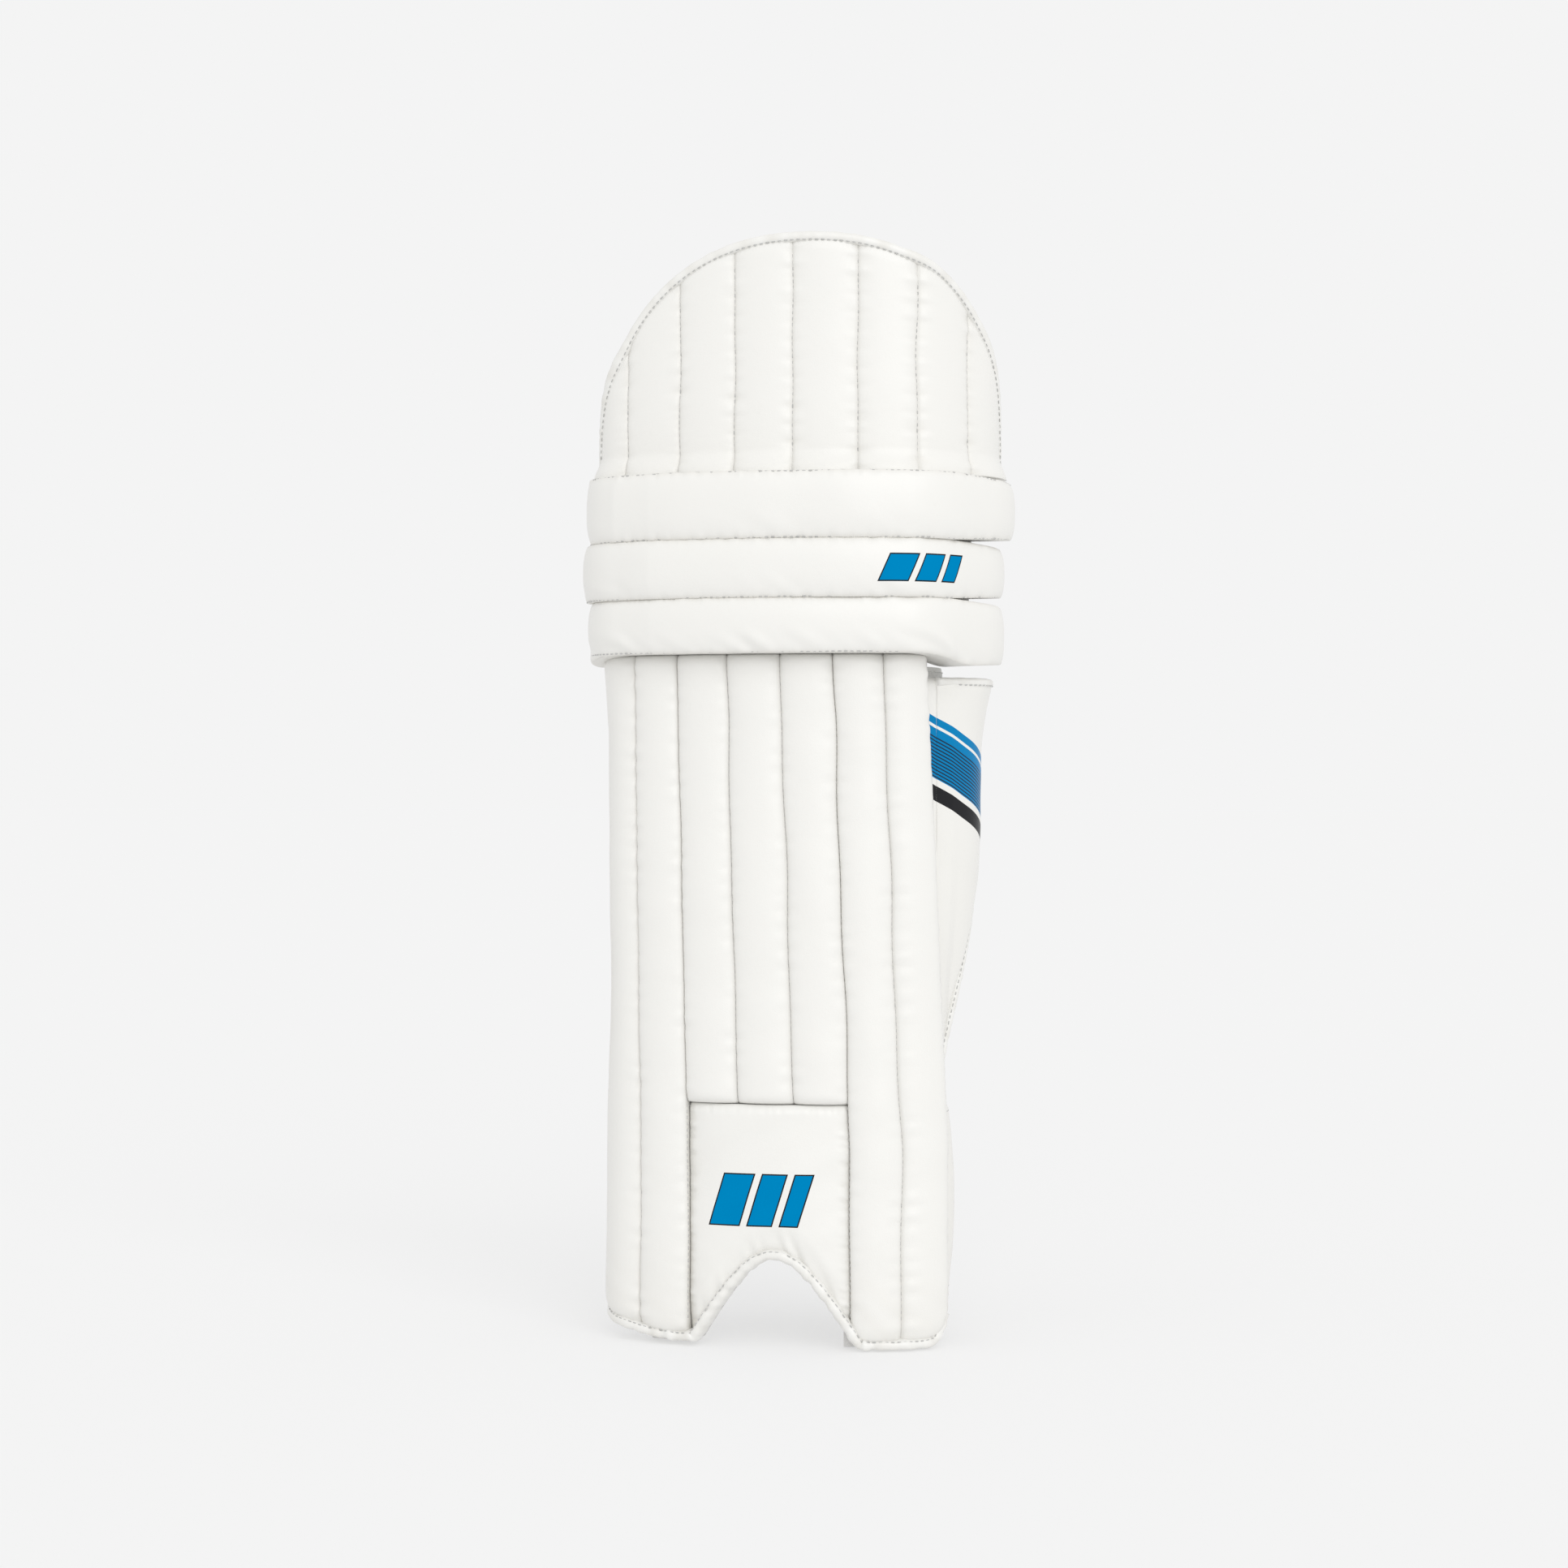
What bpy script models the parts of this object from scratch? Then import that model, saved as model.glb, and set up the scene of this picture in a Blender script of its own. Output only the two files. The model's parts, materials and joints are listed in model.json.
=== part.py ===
"""Cricket leg pad: a wrapped, channelled shin guard with three sewn knee rolls and a top hat.

Blender 4.5 model in metres, +Z up, front towards -Y, outer side of the leg towards +X.
Lengths are worked out in millimetres and turned into metres in one place, the wrap function.
Most pieces lie on the wrap: a vertical surface round the leg. A point on it has u, the distance
round the pad from its centre line, z, its height, and t, its distance in front of the lining.
"""
import math

import bmesh
import bpy
import numpy as np
from mathutils import Vector

MM = 0.001
GAP = 0.3                      # clearance left between pieces that touch

# Driving dimensions, in millimetres
PAD_HEIGHT = 720.0
SHIN_TOP = 445.0               # sewn seam between the shin and the lower knee roll
ROLL_SEAM_LOWER = 480.0        # seam between the lower and middle rolls
ROLL_SEAM_UPPER = 517.5        # seam between the middle and upper rolls
HAT_BASE = 560.5               # seam between the upper roll and the top hat
INSTEP_TOP = 157.0             # seam where the instep panel meets the shin channels
ARCH_TOP = 57.5                # crown of the arch over the foot
TOE_BINDING = 8.0
SHIN_EDGE = 114.0              # u of the shin panel's two side edges

# The wrap seen from above: heading in degrees at a distance round the pad
WRAP_BENDS = ((-150, -90), (-110, -84), (-101, -74), (-84, -16), (84, 16), (98, 46), (134, 57),
              (160, 103), (225, 110))
CENTRE_X = 13.87                # moves the design so that its box is centred on the origin
CENTRE_Y = 48.02

# Layers, measured forward from the lining
LINING = 1.0
FOAM_FACE = 5.0
VALLEY = FOAM_FACE + GAP       # inside of the cover at a sewn seam
SKIN = 1.2

# Shin channels: seams round the pad, and how far each channel stands above its seams
SHIN_SEAMS = (-114, -84, -51, -17, 17, 51, 84, 114)
SHIN_CRESTS = (8, 14, 15, 15, 15, 15, 12)
SEAM_SLANT = 0.028             # the seams lean towards the outer side as they run down
SLANT_LEVEL = 347.0            # height at which the slant moves nothing
CHANNEL_STEPS = (-1, -0.85, -0.4, 0, 0.4, 0.85)
CANE_RADIUS = 2.3
CANE_GROOVE = 0.4             # half width of the groove over a cane, as part of a half channel

# Top hat
HAT_SEAMS = (-87.4, -50.5, -14.1, 22.7, 63.3, 98, 134.5)
HAT_CENTRE = 30.0
HAT_HALF_WIDTH = 135.0
HAT_ROUNDNESS = 2.35
HAT_BINDING = 7.0
HAT_CREST = 7.5
HAT_SPREAD = 1.08

# Knee hinges and knee rolls
HINGE_DEPTH = 25.0             # the knee seams' bending axes lie this far behind the centre line
KNEE_BEND = math.radians(10)
ROLL_ENDS = (-128.0, 168.0)
ROLL_BENDS = (-128, -119, -110, -104, -97, -90, -83, -55, -28, 0, 28, 55, 84, 92, 100, 118, 135, 143,
              151, 159, 168)
KNEE_CUSHION_EDGE = 58.0

# Outer wing
WING_START = 117.0
WING_BOTTOM = 193.0
WING_TOP = 430.0
WING_HINGE_U = 115.2
WING_HINGE_T = 7.2
WING_FLARE = 9.0               # how far the top corner stands away from the leg
FLARE_LEVEL = 372.0            # height at which the flare starts
WING_FACE = 9.0

# Straps: height of the lower edge, width
STRAPS = {"knee_strap": (396, 42), "calf_strap": (254, 46), "ankle_strap": (80, 38)}
STRAP_THICKNESS = 3.0
PATCH_EDGES = (85.0, 99.0)     # u of the loop patches' two side edges
SIDE_EDGE = -150.0             # rear edge of the inner wing and inner ankle flap
SIDE_PANEL = 9.0

PATH_STEP = 0.25
PATH_REACH = (-200, 260.25)


def build_path():
    """Integrate the headings into plan positions, one every PATH_STEP along the wrap."""
    bends = np.array(WRAP_BENDS, float)
    lengths = np.arange(*PATH_REACH, PATH_STEP)
    headings = np.radians(np.interp(lengths, bends[:, 0], bends[:, 1]))
    steps_x = (np.cos(headings[1:]) + np.cos(headings[:-1])) / 2 * PATH_STEP
    steps_y = (np.sin(headings[1:]) + np.sin(headings[:-1])) / 2 * PATH_STEP
    across = np.concatenate([[0], np.cumsum(steps_x)])
    back = np.concatenate([[0], np.cumsum(steps_y)])
    middle = np.argmin(abs(lengths))
    return lengths, headings, across - across[middle], back - back[middle]


PATH = build_path()


def plan(u, t, spread=1.0):
    """Plan position, in millimetres before centring, of a point on the wrap."""
    lengths, headings, across, back = PATH
    heading = np.interp(u / spread, lengths, headings)
    x = np.interp(u / spread, lengths, across) * spread + math.sin(heading) * t
    y = np.interp(u / spread, lengths, back) * spread - math.cos(heading) * t
    return x, y


def place(x, y, z):
    """Centre a point of the design and turn millimetres into metres."""
    return Vector(((x - CENTRE_X) * MM, (y - CENTRE_Y) * MM, z * MM))


def wrap(u, z, t, spread=1.0):
    """World position of the point at distance u, height z and depth t."""
    x, y = plan(u, t, spread)
    return place(x, y, z)


def mix(low, high, part):
    return low + (high - low) * part


def steps(low, high, count):
    """Evenly spaced values from low to high."""
    return [mix(low, high, i / count) for i in range(count + 1)]


# ------------------------------------------------------------------ scene, materials and bodies
for stale in list(bpy.data.objects):
    bpy.data.objects.remove(stale, do_unlink=True)

pad = bpy.data.collections.new("cricket_leg_pad")
bpy.context.scene.collection.children.link(pad)


def finish(name, colour, roughness, metallic=0.0):
    """A Principled material with one colour."""
    material = bpy.data.materials.new(name)
    material.use_nodes = True
    shader = material.node_tree.nodes["Principled BSDF"]
    shader.inputs["Base Color"].default_value = (*colour, 1)
    shader.inputs["Roughness"].default_value = roughness
    shader.inputs["Metallic"].default_value = metallic
    return material


LEATHER = finish("white_leather", (0.90, 0.89, 0.86), 0.42)
BINDING = finish("white_binding", (0.88, 0.87, 0.84), 0.38)
FOAM = finish("cream_foam", (0.84, 0.80, 0.68), 0.9)
FELT = finish("cotton_filling", (0.80, 0.77, 0.70), 0.95)
CANE = finish("split_cane", (0.62, 0.42, 0.20), 0.6)
FABRIC = finish("lining_fabric", (0.80, 0.81, 0.82), 0.85)
WEBBING = finish("strap_webbing", (0.86, 0.86, 0.84), 0.7)
HOOK = finish("hook_tape", (0.75, 0.75, 0.74), 0.8)


def body_axis(name, x, y, z):
    """An empty at a point of a moving body's joint axis."""
    empty = bpy.data.objects.new(name, None)
    empty.location = place(x, y, z)
    pad.objects.link(empty)
    return empty


def add_object(name, mesh, material, axis=None):
    """Link a mesh, given in world coordinates, under its body's axis."""
    mesh.materials.append(material)
    piece = bpy.data.objects.new(name, mesh)
    if axis is not None:
        for vertex in mesh.vertices:
            vertex.co -= axis.location
        piece.parent = axis
    pad.objects.link(piece)
    return piece


def slab(name, columns, rows, inner, outer, material, axis=None):
    """A closed layer: a grid, extruded, whose two faces are laid on inner and outer surfaces.

    inner and outer take a column value and a row value and return a world position.
    """
    across, up = len(columns) - 1, len(rows) - 1
    shape = bmesh.new()
    bmesh.ops.create_grid(shape, x_segments=across, y_segments=up, size=0.5)
    grid_place = {}
    for vertex in shape.verts:
        grid_place[vertex] = (columns[round((vertex.co.x + 0.5) * across)],
                              rows[round((vertex.co.y + 0.5) * up)])
    extruded = bmesh.ops.extrude_face_region(shape, geom=shape.faces[:])
    raised = [item for item in extruded["geom"] if isinstance(item, bmesh.types.BMVert)]
    for vertex in raised:
        column = columns[round((vertex.co.x + 0.5) * across)]
        row = rows[round((vertex.co.y + 0.5) * up)]
        vertex.co = outer(column, row)
    for vertex, (column, row) in grid_place.items():
        vertex.co = inner(column, row)
    bmesh.ops.recalc_face_normals(shape, faces=shape.faces[:])
    if shape.calc_volume(signed=True) < 0:
        bmesh.ops.reverse_faces(shape, faces=shape.faces[:])
    mesh = bpy.data.meshes.new(name)
    shape.to_mesh(mesh)
    shape.free()
    return add_object(name, mesh, material, axis)


def layer(name, columns, rows, outline, inner_t, outer_t, material, axis=None, spread=1.0):
    """A slab on the wrap. outline(u, row) gives the height; the depths are numbers or functions."""
    def surface(depth):
        def point(u, row):
            z = outline(u, row)
            t = depth(u, z) if callable(depth) else depth
            return wrap(u + slant(u, z), z, t, spread)
        return point
    return slab(name, columns, rows, surface(inner_t), surface(outer_t), material, axis)


def slant(u, z):
    """How far the shin seams at u have moved round the pad at height z."""
    if z >= SHIN_TOP:
        return 0.0
    hold = max(0.0, min(1.0, (SHIN_EDGE - abs(u)) / 30))
    return SEAM_SLANT * (SLANT_LEVEL - z) * hold


# ------------------------------------------------------------------ shin
def channel_part(u, seams):
    """The channel that u lies in, and its place across it from -1 to 1."""
    index = min(max(int(np.searchsorted(seams, u, side="right")) - 1, 0), len(seams) - 2)
    low, high = seams[index], seams[index + 1]
    return index, (2 * u - low - high) / (high - low)


def channel_columns(seams):
    columns = []
    for low, high in zip(seams, seams[1:]):
        middle, half = (low + high) / 2, (high - low) / 2
        columns += [middle + half * step for step in CHANNEL_STEPS]
    return columns + [seams[-1]]


def pillow(part):
    """Height of a stuffed channel, 0 at its seams and 1 along its middle."""
    knots = CHANNEL_STEPS + (1,)
    return float(np.interp(part, knots, [(1 - step * step) ** 0.6 for step in knots]))


def cover_inside(u, _z):
    index, part = channel_part(u, SHIN_SEAMS)
    return VALLEY + SHIN_CRESTS[index] * pillow(part)


def cover_outside(u, z):
    return cover_inside(u, z) + SKIN


def toe_line(u):
    """Underside of the two legs of the pad, flat, with its outer corners rounded up."""
    return 26 * (max(0.0, abs(u) - 92) / 22) ** 2


ARCH_CENTRE = 3.0
ARCH_SLOPE = 1.75
ARCH_CROWN = 23.0
ARCH_HALF_WIDTH = 45.0
INSTEP_SIDE = 51.0


def arch_line(u):
    """Edge of the opening over the foot: two straight slopes that meet in a round crown."""
    run = math.hypot(u - ARCH_CENTRE, ARCH_CROWN) - ARCH_CROWN
    return ARCH_TOP - ARCH_SLOPE * run


def panel_bottom(u):
    """Lower edge of the shin's inner layers: the legs outside, the arch between them."""
    leg = toe_line(u) + TOE_BINDING + GAP
    if abs(u) >= INSTEP_SIDE:
        return leg
    return max(leg, arch_line(u) + TOE_BINDING + 2)


def cover_bottom(u):
    """The channels stop above the instep panel, and run on down the two legs."""
    if abs(u) >= INSTEP_SIDE:
        return panel_bottom(u)
    return INSTEP_TOP + GAP


def up_to_shin_top(bottom):
    return lambda u, row: mix(bottom(u), SHIN_TOP - 0.5, row)


def split_at_instep(columns):
    """Add a column just inside each side of the instep, where the cover's edge steps down."""
    inside = INSTEP_SIDE - 0.4
    return sorted(columns + [-inside, inside])


def make_shin():
    columns = channel_columns(SHIN_SEAMS)
    rows = steps(0, 1, 2)
    layer("shin_lining", columns, rows, up_to_shin_top(panel_bottom), 0, LINING, FABRIC)
    layer("shin_backing_foam", columns, rows, up_to_shin_top(panel_bottom), LINING + GAP, FOAM_FACE, FOAM)
    layer("shin_cover", split_at_instep(columns), rows, up_to_shin_top(cover_bottom),
          cover_inside, cover_outside, LEATHER)
    for number, (low, high) in enumerate(zip(SHIN_SEAMS, SHIN_SEAMS[1:]), 1):
        make_channel(number, low, high)


def make_channel(number, low, high):
    """One channel's stuffing, with a groove along its back, and the cane that lies in the groove."""
    middle, half = (low + high) / 2, (high - low) / 2
    columns = [middle + half * step for step in CHANNEL_STEPS[1:]]
    bottom = cover_bottom(middle) + 1
    top = SHIN_TOP - 1.5
    crest = SHIN_CRESTS[number - 1]
    groove = min(13.0, VALLEY + crest - 2.5)

    def back(u, _z):
        return mix(groove, VALLEY + GAP, min(1.0, abs(u - middle) / (CANE_GROOVE * half)))

    def face(u, z):
        return cover_inside(u, z) - 2.5 * GAP

    def outline(u, row):
        return mix(max(bottom, toe_line(u) + TOE_BINDING + 1.5), top, row)

    layer(f"shin_filling_{number}", columns, steps(0, 1, 3), outline, back, face, FELT)
    radius = CANE_RADIUS if crest > 10 else 1.2
    ends = [wrap(middle + slant(middle, z), z, VALLEY + GAP + radius) for z in (bottom + 6, top - 5)]
    run = ends[1] - ends[0]
    shape = bmesh.new()
    bmesh.ops.create_cone(shape, cap_ends=True, segments=8, radius1=radius * MM, radius2=radius * MM,
                          depth=run.length)
    turn = run.to_track_quat("Z", "Y").to_matrix().to_4x4()
    turn.translation = (ends[0] + ends[1]) / 2
    shape.transform(turn)
    mesh = bpy.data.meshes.new(f"shin_cane_{number}")
    shape.to_mesh(mesh)
    shape.free()
    mesh.shade_smooth()
    add_object(f"shin_cane_{number}", mesh, CANE)


# ------------------------------------------------------------------ instep and feet of the pad
INSTEP_CREST = 9.0


def instep_inside(u, z):
    across = 1 - (u / INSTEP_SIDE) ** 4
    return VALLEY + 1.5 + INSTEP_CREST * max(0.0, across)


def make_instep():
    edge = INSTEP_SIDE - 0.8
    columns = steps(-edge, edge, 14)

    def outline(u, row):
        return mix(panel_bottom(u), INSTEP_TOP - GAP, row)

    layer("instep_cover", columns, steps(0, 1, 3), outline, instep_inside,
          lambda u, z: instep_inside(u, z) + SKIN, LEATHER)
    layer("instep_foam", columns, steps(0, 1, 3), outline, VALLEY,
          lambda u, z: instep_inside(u, z) - GAP, FOAM)

    def arch_edge(u, row):
        return arch_line(u) + row * (TOE_BINDING - 1)

    half = ARCH_HALF_WIDTH

    layer("arch_binding", steps(ARCH_CENTRE - half + 1, ARCH_CENTRE + half - 1, 16), [0, 1], arch_edge,
          0, 17, BINDING)


def make_toe_binding(name, low, high):
    """Bound end of one leg of the pad, with the flat sole that the pad stands on."""
    def outline(u, row):
        return toe_line(u) + row * TOE_BINDING

    columns = [u for u in channel_columns(SHIN_SEAMS) if low <= u <= high]
    layer(name, columns, [0, 1], outline, 0, lambda u, z: 17 - toe_line(u) / 5, BINDING)


# ------------------------------------------------------------------ behind the shin
BOLSTERS = (("inner_bolster", -61, 15), ("outer_bolster", 65, 11))   # name, middle, half width
BOLSTER_DEPTH = 22.0
BOLSTER_TOP = 428.0
CUSHION_GAP = 0.8
INNER_WING_BOTTOM = 196.0
INNER_WING_TOP = 432.0
FLAP_BOTTOM = 29.0
FLAP_TOP = 153.0
FLAP_THICKNESS = 3.5
INNER_FLAP_NARROW = 0.97
OUTER_FLAP_NARROW = 0.9
OUTER_FLAP_END = 166.0


def cushion(name, low_u, high_u, low_z, high_z, depth, material, axis=None, spread=1.0, dish=0.0,
            flat_foot=False):
    """A rounded cushion on the lining's back face; with flat_foot its lower end is cut square."""
    def face(u, z):
        across = (2 * u - low_u - high_u) / (high_u - low_u)
        along = (2 * z - low_z - high_z) / (high_z - low_z)
        if flat_foot:
            along = max(0.0, along)
        crown = ((1 - across ** 4) * (1 - along ** 6)) ** 0.5
        return -CUSHION_GAP - 2 - (depth - 2) * crown * (1 - dish * (1 - across * across))

    layer(name, steps(low_u, high_u, 6), steps(0, 1, 4), lambda u, row: mix(low_z, high_z, row),
          face, -CUSHION_GAP, material, axis, spread)


def make_back():
    for name, middle, half_width in BOLSTERS:
        low_u, high_u = middle - half_width, middle + half_width
        cushion(name, low_u, high_u, 0, BOLSTER_TOP, BOLSTER_DEPTH, FABRIC, flat_foot=True)
    inner_end = -SHIN_EDGE - 1.3

    def inner_wing_outline(u, row):
        outer = max(0.0, 1 - abs(SIDE_EDGE - u) / 36)
        return mix(INNER_WING_BOTTOM + 30 * outer, INNER_WING_TOP - 16 * outer ** 2, row)

    columns = steps(SIDE_EDGE, inner_end, 8)
    layer("inner_wing", columns, steps(0, 1, 4), inner_wing_outline, 0, SIDE_PANEL, LEATHER)

    make_ankle_flap("inner_ankle_flap", inner_end, SIDE_EDGE, INNER_FLAP_NARROW)
    make_ankle_flap("outer_ankle_flap", SHIN_EDGE + 2, OUTER_FLAP_END, OUTER_FLAP_NARROW)


def make_ankle_flap(name, start, end, narrow):
    """A thin flap that carries on from the shin's edge and turns in towards the ankle."""
    def surface(depth):
        def point(u, z):
            return wrap(u, z, depth, mix(1, narrow, (u - start) / (end - start)))
        return point

    slab(name, steps(start, end, 8), steps(FLAP_BOTTOM, FLAP_TOP, 2), surface(0), surface(FLAP_THICKNESS),
         LEATHER)


# ------------------------------------------------------------------ knee rolls
def hinge_margin(u, spread):
    """Extra room at a knee seam, so that what lies behind the hinge axis can swing down."""
    behind = max(plan(u, 0, spread)[1], plan(u, 25, spread)[1]) - HINGE_DEPTH
    return 0.5 + max(0.0, behind) * math.tan(KNEE_BEND) * 0.55


def make_roll(name, low, high, left, front, right, spread, axis):
    """One horizontal roll: its stuffed core, its cover and its backing panel."""
    columns = [*ROLL_BENDS]

    def depth(u):
        places = (ROLL_ENDS[0], -118, -85, -60, 90, 120, 158, ROLL_ENDS[1])
        depths = (left - 9, left, front - 3, front, front, (front + right) / 2, right, right - 8)
        return float(np.interp(u, places, depths))

    def bottom(u):
        return low + hinge_margin(u, spread)

    def top(u):
        return high - hinge_margin(u, spread)

    def arc(inset):
        """D-shaped section: row 0 is its lower back corner, row 1 its upper back corner."""
        def point(u, row):
            angle = math.pi * row
            reach = (depth(u) - VALLEY - inset) * math.sin(angle) ** 0.75
            middle, half = (bottom(u) + top(u)) / 2, (top(u) - bottom(u)) / 2 - inset
            rise = math.copysign(abs(math.cos(angle)) ** 0.7, -math.cos(angle)) * half
            return wrap(u, middle + rise, VALLEY + reach + 0.4, spread)
        return point

    def flat_back(u, row):
        inset = SKIN + GAP
        middle, half = (bottom(u) + top(u)) / 2, (top(u) - bottom(u)) / 2 - inset
        angle = math.pi * row
        rise = math.copysign(abs(math.cos(angle)) ** 0.7, -math.cos(angle)) * half
        return wrap(u, middle + rise, VALLEY, spread)

    slab(f"{name}_cover", columns, steps(0, 1, 6), arc(SKIN), arc(0), LEATHER, axis)
    slab(f"{name}_core", columns, steps(0, 1, 6), flat_back, arc(SKIN + GAP), FELT, axis)
    layer(f"{name}_backing", columns, [0, 1], lambda u, row: mix(bottom(u), top(u), row),
          0, FOAM_FACE, FABRIC, axis, spread)


# ------------------------------------------------------------------ top hat
def dome(angle, inset):
    """Point (u, z) on the top hat's outline, by angle from its outer end, over its crown."""
    half_width, height = HAT_HALF_WIDTH - inset, PAD_HEIGHT - HAT_BASE - inset
    power = 2 / HAT_ROUNDNESS
    across = math.copysign(abs(math.cos(angle)) ** power, math.cos(angle)) * half_width
    return HAT_CENTRE + across, HAT_BASE + math.sin(angle) ** power * height


def hat_top(u):
    half_width = HAT_HALF_WIDTH - HAT_BINDING
    height = PAD_HEIGHT - HAT_BASE - HAT_BINDING
    across = min(1.0, abs(u - HAT_CENTRE) / half_width)
    return HAT_BASE + height * (1 - across ** HAT_ROUNDNESS) ** (1 / HAT_ROUNDNESS)


def make_top_hat(axis):
    reach = (HAT_HALF_WIDTH - HAT_BINDING) * 0.965
    ends = (HAT_CENTRE - reach, HAT_CENTRE + reach)
    seams = (ends[0], *HAT_SEAMS, ends[1])
    columns = channel_columns(seams)

    def inside(u, z):
        _index, part = channel_part(u, seams)
        return VALLEY + 1 + HAT_CREST * pillow(part)

    def outline(u, row):
        return mix(HAT_BASE + hinge_margin(u, HAT_SPREAD), hat_top(u) - GAP, row)

    rows = steps(0, 1, 2)
    layer("top_hat_lining", columns, [0, 1], outline, 0, LINING, FABRIC, axis, HAT_SPREAD)
    layer("top_hat_foam", columns, rows, outline, LINING + GAP, lambda u, z: inside(u, z) - GAP, FOAM, axis,
          HAT_SPREAD)
    layer("top_hat_cover", columns, rows, outline, inside, lambda u, z: inside(u, z) + SKIN, LEATHER, axis,
          HAT_SPREAD)

    def rim(depth):
        def point(angle, row):
            u, z = dome(angle, mix(HAT_BINDING - 2 * GAP, 0, row))
            return wrap(u, z, depth, HAT_SPREAD)
        return point

    start = 0.14
    slab("top_hat_binding", steps(start, math.pi - start, 28), [0, 1], rim(0), rim(14), BINDING, axis)


# ------------------------------------------------------------------ outer wing
def wing_edge(z):
    """Rear edge of the wing: it runs back as it rises, and its top corner is rounded."""
    straight = 125 + (z - 196) * 0.33
    corner = max(0.0, z - (WING_TOP - 30)) / 30
    return straight - 12 * corner ** 3


def wing_depth(u, z, depth):
    """Where a layer at this depth lies, given that the wing is thinner at its hinge and flared."""
    rise = max(0.0, min(1.0, (z - FLARE_LEVEL) / (WING_TOP - FLARE_LEVEL)))
    flare = WING_FLARE * rise * rise * min(1.0, (u - WING_START) / 30)
    thin = min(1.0, 0.72 + (u - WING_START) / 40)
    return depth * thin + flare


def make_outer_wing(axis):
    """Four layers that share one outline, with the top edge flared away from the leg."""
    def at(depth):
        def point(part, z):
            u = mix(WING_START, wing_edge(z), part)
            return wrap(u, z, wing_depth(u, z, depth))
        return point

    parts, heights = steps(0, 1, 8), steps(WING_BOTTOM, WING_TOP, 5)
    slab("outer_wing_lining", parts, heights, at(0), at(LINING * 1.4), FABRIC, axis)
    slab("outer_wing_foam", parts, heights, at(LINING * 1.4 + GAP * 1.5), at(WING_FACE - GAP), FOAM, axis)
    slab("outer_wing_cover", parts, heights, at(WING_FACE + GAP / 2), at(WING_FACE + SKIN), LEATHER, axis)

    def rim(depth):
        def point(row, z):
            u = wing_edge(z)
            return wrap(u + mix(2.2, 7, row), z, wing_depth(u, z, depth))
        return point

    slab("outer_wing_binding", [0, 1], heights, rim(0), rim(WING_FACE + SKIN), BINDING, axis)


# ------------------------------------------------------------------ straps
def strap_route(pivot):
    """Plan route of a closed strap: back from its sewn end, across behind the leg, to its patch."""
    landing = [plan(u, -6.8) for u in reversed(PATCH_EDGES)]
    through = [pivot, (pivot[0] + 3, pivot[1] + 22), (pivot[0] + 34, pivot[1] + 46), (-42, 130), (20, 131),
               (72, 118), (99, 92), (104, 60), *landing]
    return smooth_through(through, 3)


def smooth_through(points, count):
    """Catmull-Rom curve through the points."""
    padded = [points[0], *points, points[-1]]
    route = []
    for a, b, c, d in zip(padded, padded[1:], padded[2:], padded[3:]):
        for i in range(count):
            s = i / count
            route.append(tuple(0.5 * (2 * q + (r - p) * s + (2 * p - 5 * q + 4 * r - w) * s * s
                                      + (3 * q - p - 3 * r + w) * s ** 3)
                               for p, q, r, w in zip(a, b, c, d)))
    return route + [points[-1]]


def beside(route, index, side):
    """Point of the route moved square to it by side millimetres."""
    before, after = route[max(index - 1, 0)], route[min(index + 1, len(route) - 1)]
    run = Vector((after[0] - before[0], after[1] - before[1])).normalized()
    return route[index][0] - run.y * side, route[index][1] + run.x * side


def make_strap(name, pivot, axis):
    """A band sewn at the pivot, with hook tape on the free end's front face."""
    low, width = STRAPS[name]
    route = strap_route(pivot)
    half = STRAP_THICKNESS / 2

    def face(side):
        def point(index, row):
            x, y = beside(route, index, side)
            return place(x, y, mix(low, low + width, row))
        return point

    indices = list(range(1, len(route)))
    slab(name, indices, [0, 1], face(-half), face(half), WEBBING, axis)
    tail = indices[-3:]
    slab(f"{name}_hook_tape", tail, [0, 1], face(half + GAP), face(half + GAP + 1.2), HOOK, axis)


def make_patch(name, low, width):
    """Loop patch on the lining, where a strap's hook tape lands."""
    columns = steps(*PATCH_EDGES, 3)
    layer(name, columns, [0, 1], lambda u, row: mix(low, low + width, row), -2.1, -0.9, HOOK)


# ------------------------------------------------------------------ assembly
make_shin()
make_instep()
make_toe_binding("inner_toe_binding", -SHIN_EDGE, -INSTEP_SIDE)
make_toe_binding("outer_toe_binding", INSTEP_SIDE, SHIN_EDGE)
make_back()

lower_axis = body_axis("lower_roll_axis", 0, HINGE_DEPTH, SHIN_TOP)
middle_axis = body_axis("middle_roll_axis", 0, HINGE_DEPTH, ROLL_SEAM_LOWER)
upper_axis = body_axis("upper_roll_axis", 0, HINGE_DEPTH, ROLL_SEAM_UPPER)
hat_axis = body_axis("top_hat_axis", 0, HINGE_DEPTH, HAT_BASE)
# Each roll's depth at its inner end, its front and its outer end
make_roll("lower_roll", SHIN_TOP, ROLL_SEAM_LOWER, 23, 36, 25, 1.0, lower_axis)
make_roll("middle_roll", ROLL_SEAM_LOWER, ROLL_SEAM_UPPER, 30, 37, 25, 1.0, middle_axis)
make_roll("upper_roll", ROLL_SEAM_UPPER, HAT_BASE, 20, 37, 28, 1.04, upper_axis)
knee = (-KNEE_CUSHION_EDGE, KNEE_CUSHION_EDGE)
cushion("lower_knee_pad", *knee, SHIN_TOP + 4, ROLL_SEAM_LOWER - 3, 14, FABRIC, lower_axis)
cushion("knee_cup", *knee, ROLL_SEAM_LOWER + 2, ROLL_SEAM_UPPER - 2, 12, FABRIC, middle_axis, dish=0.6)
cushion("upper_knee_pad", *knee, ROLL_SEAM_UPPER + 3, HAT_BASE - 4, 14, FABRIC, upper_axis, spread=1.04)
make_top_hat(hat_axis)

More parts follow.
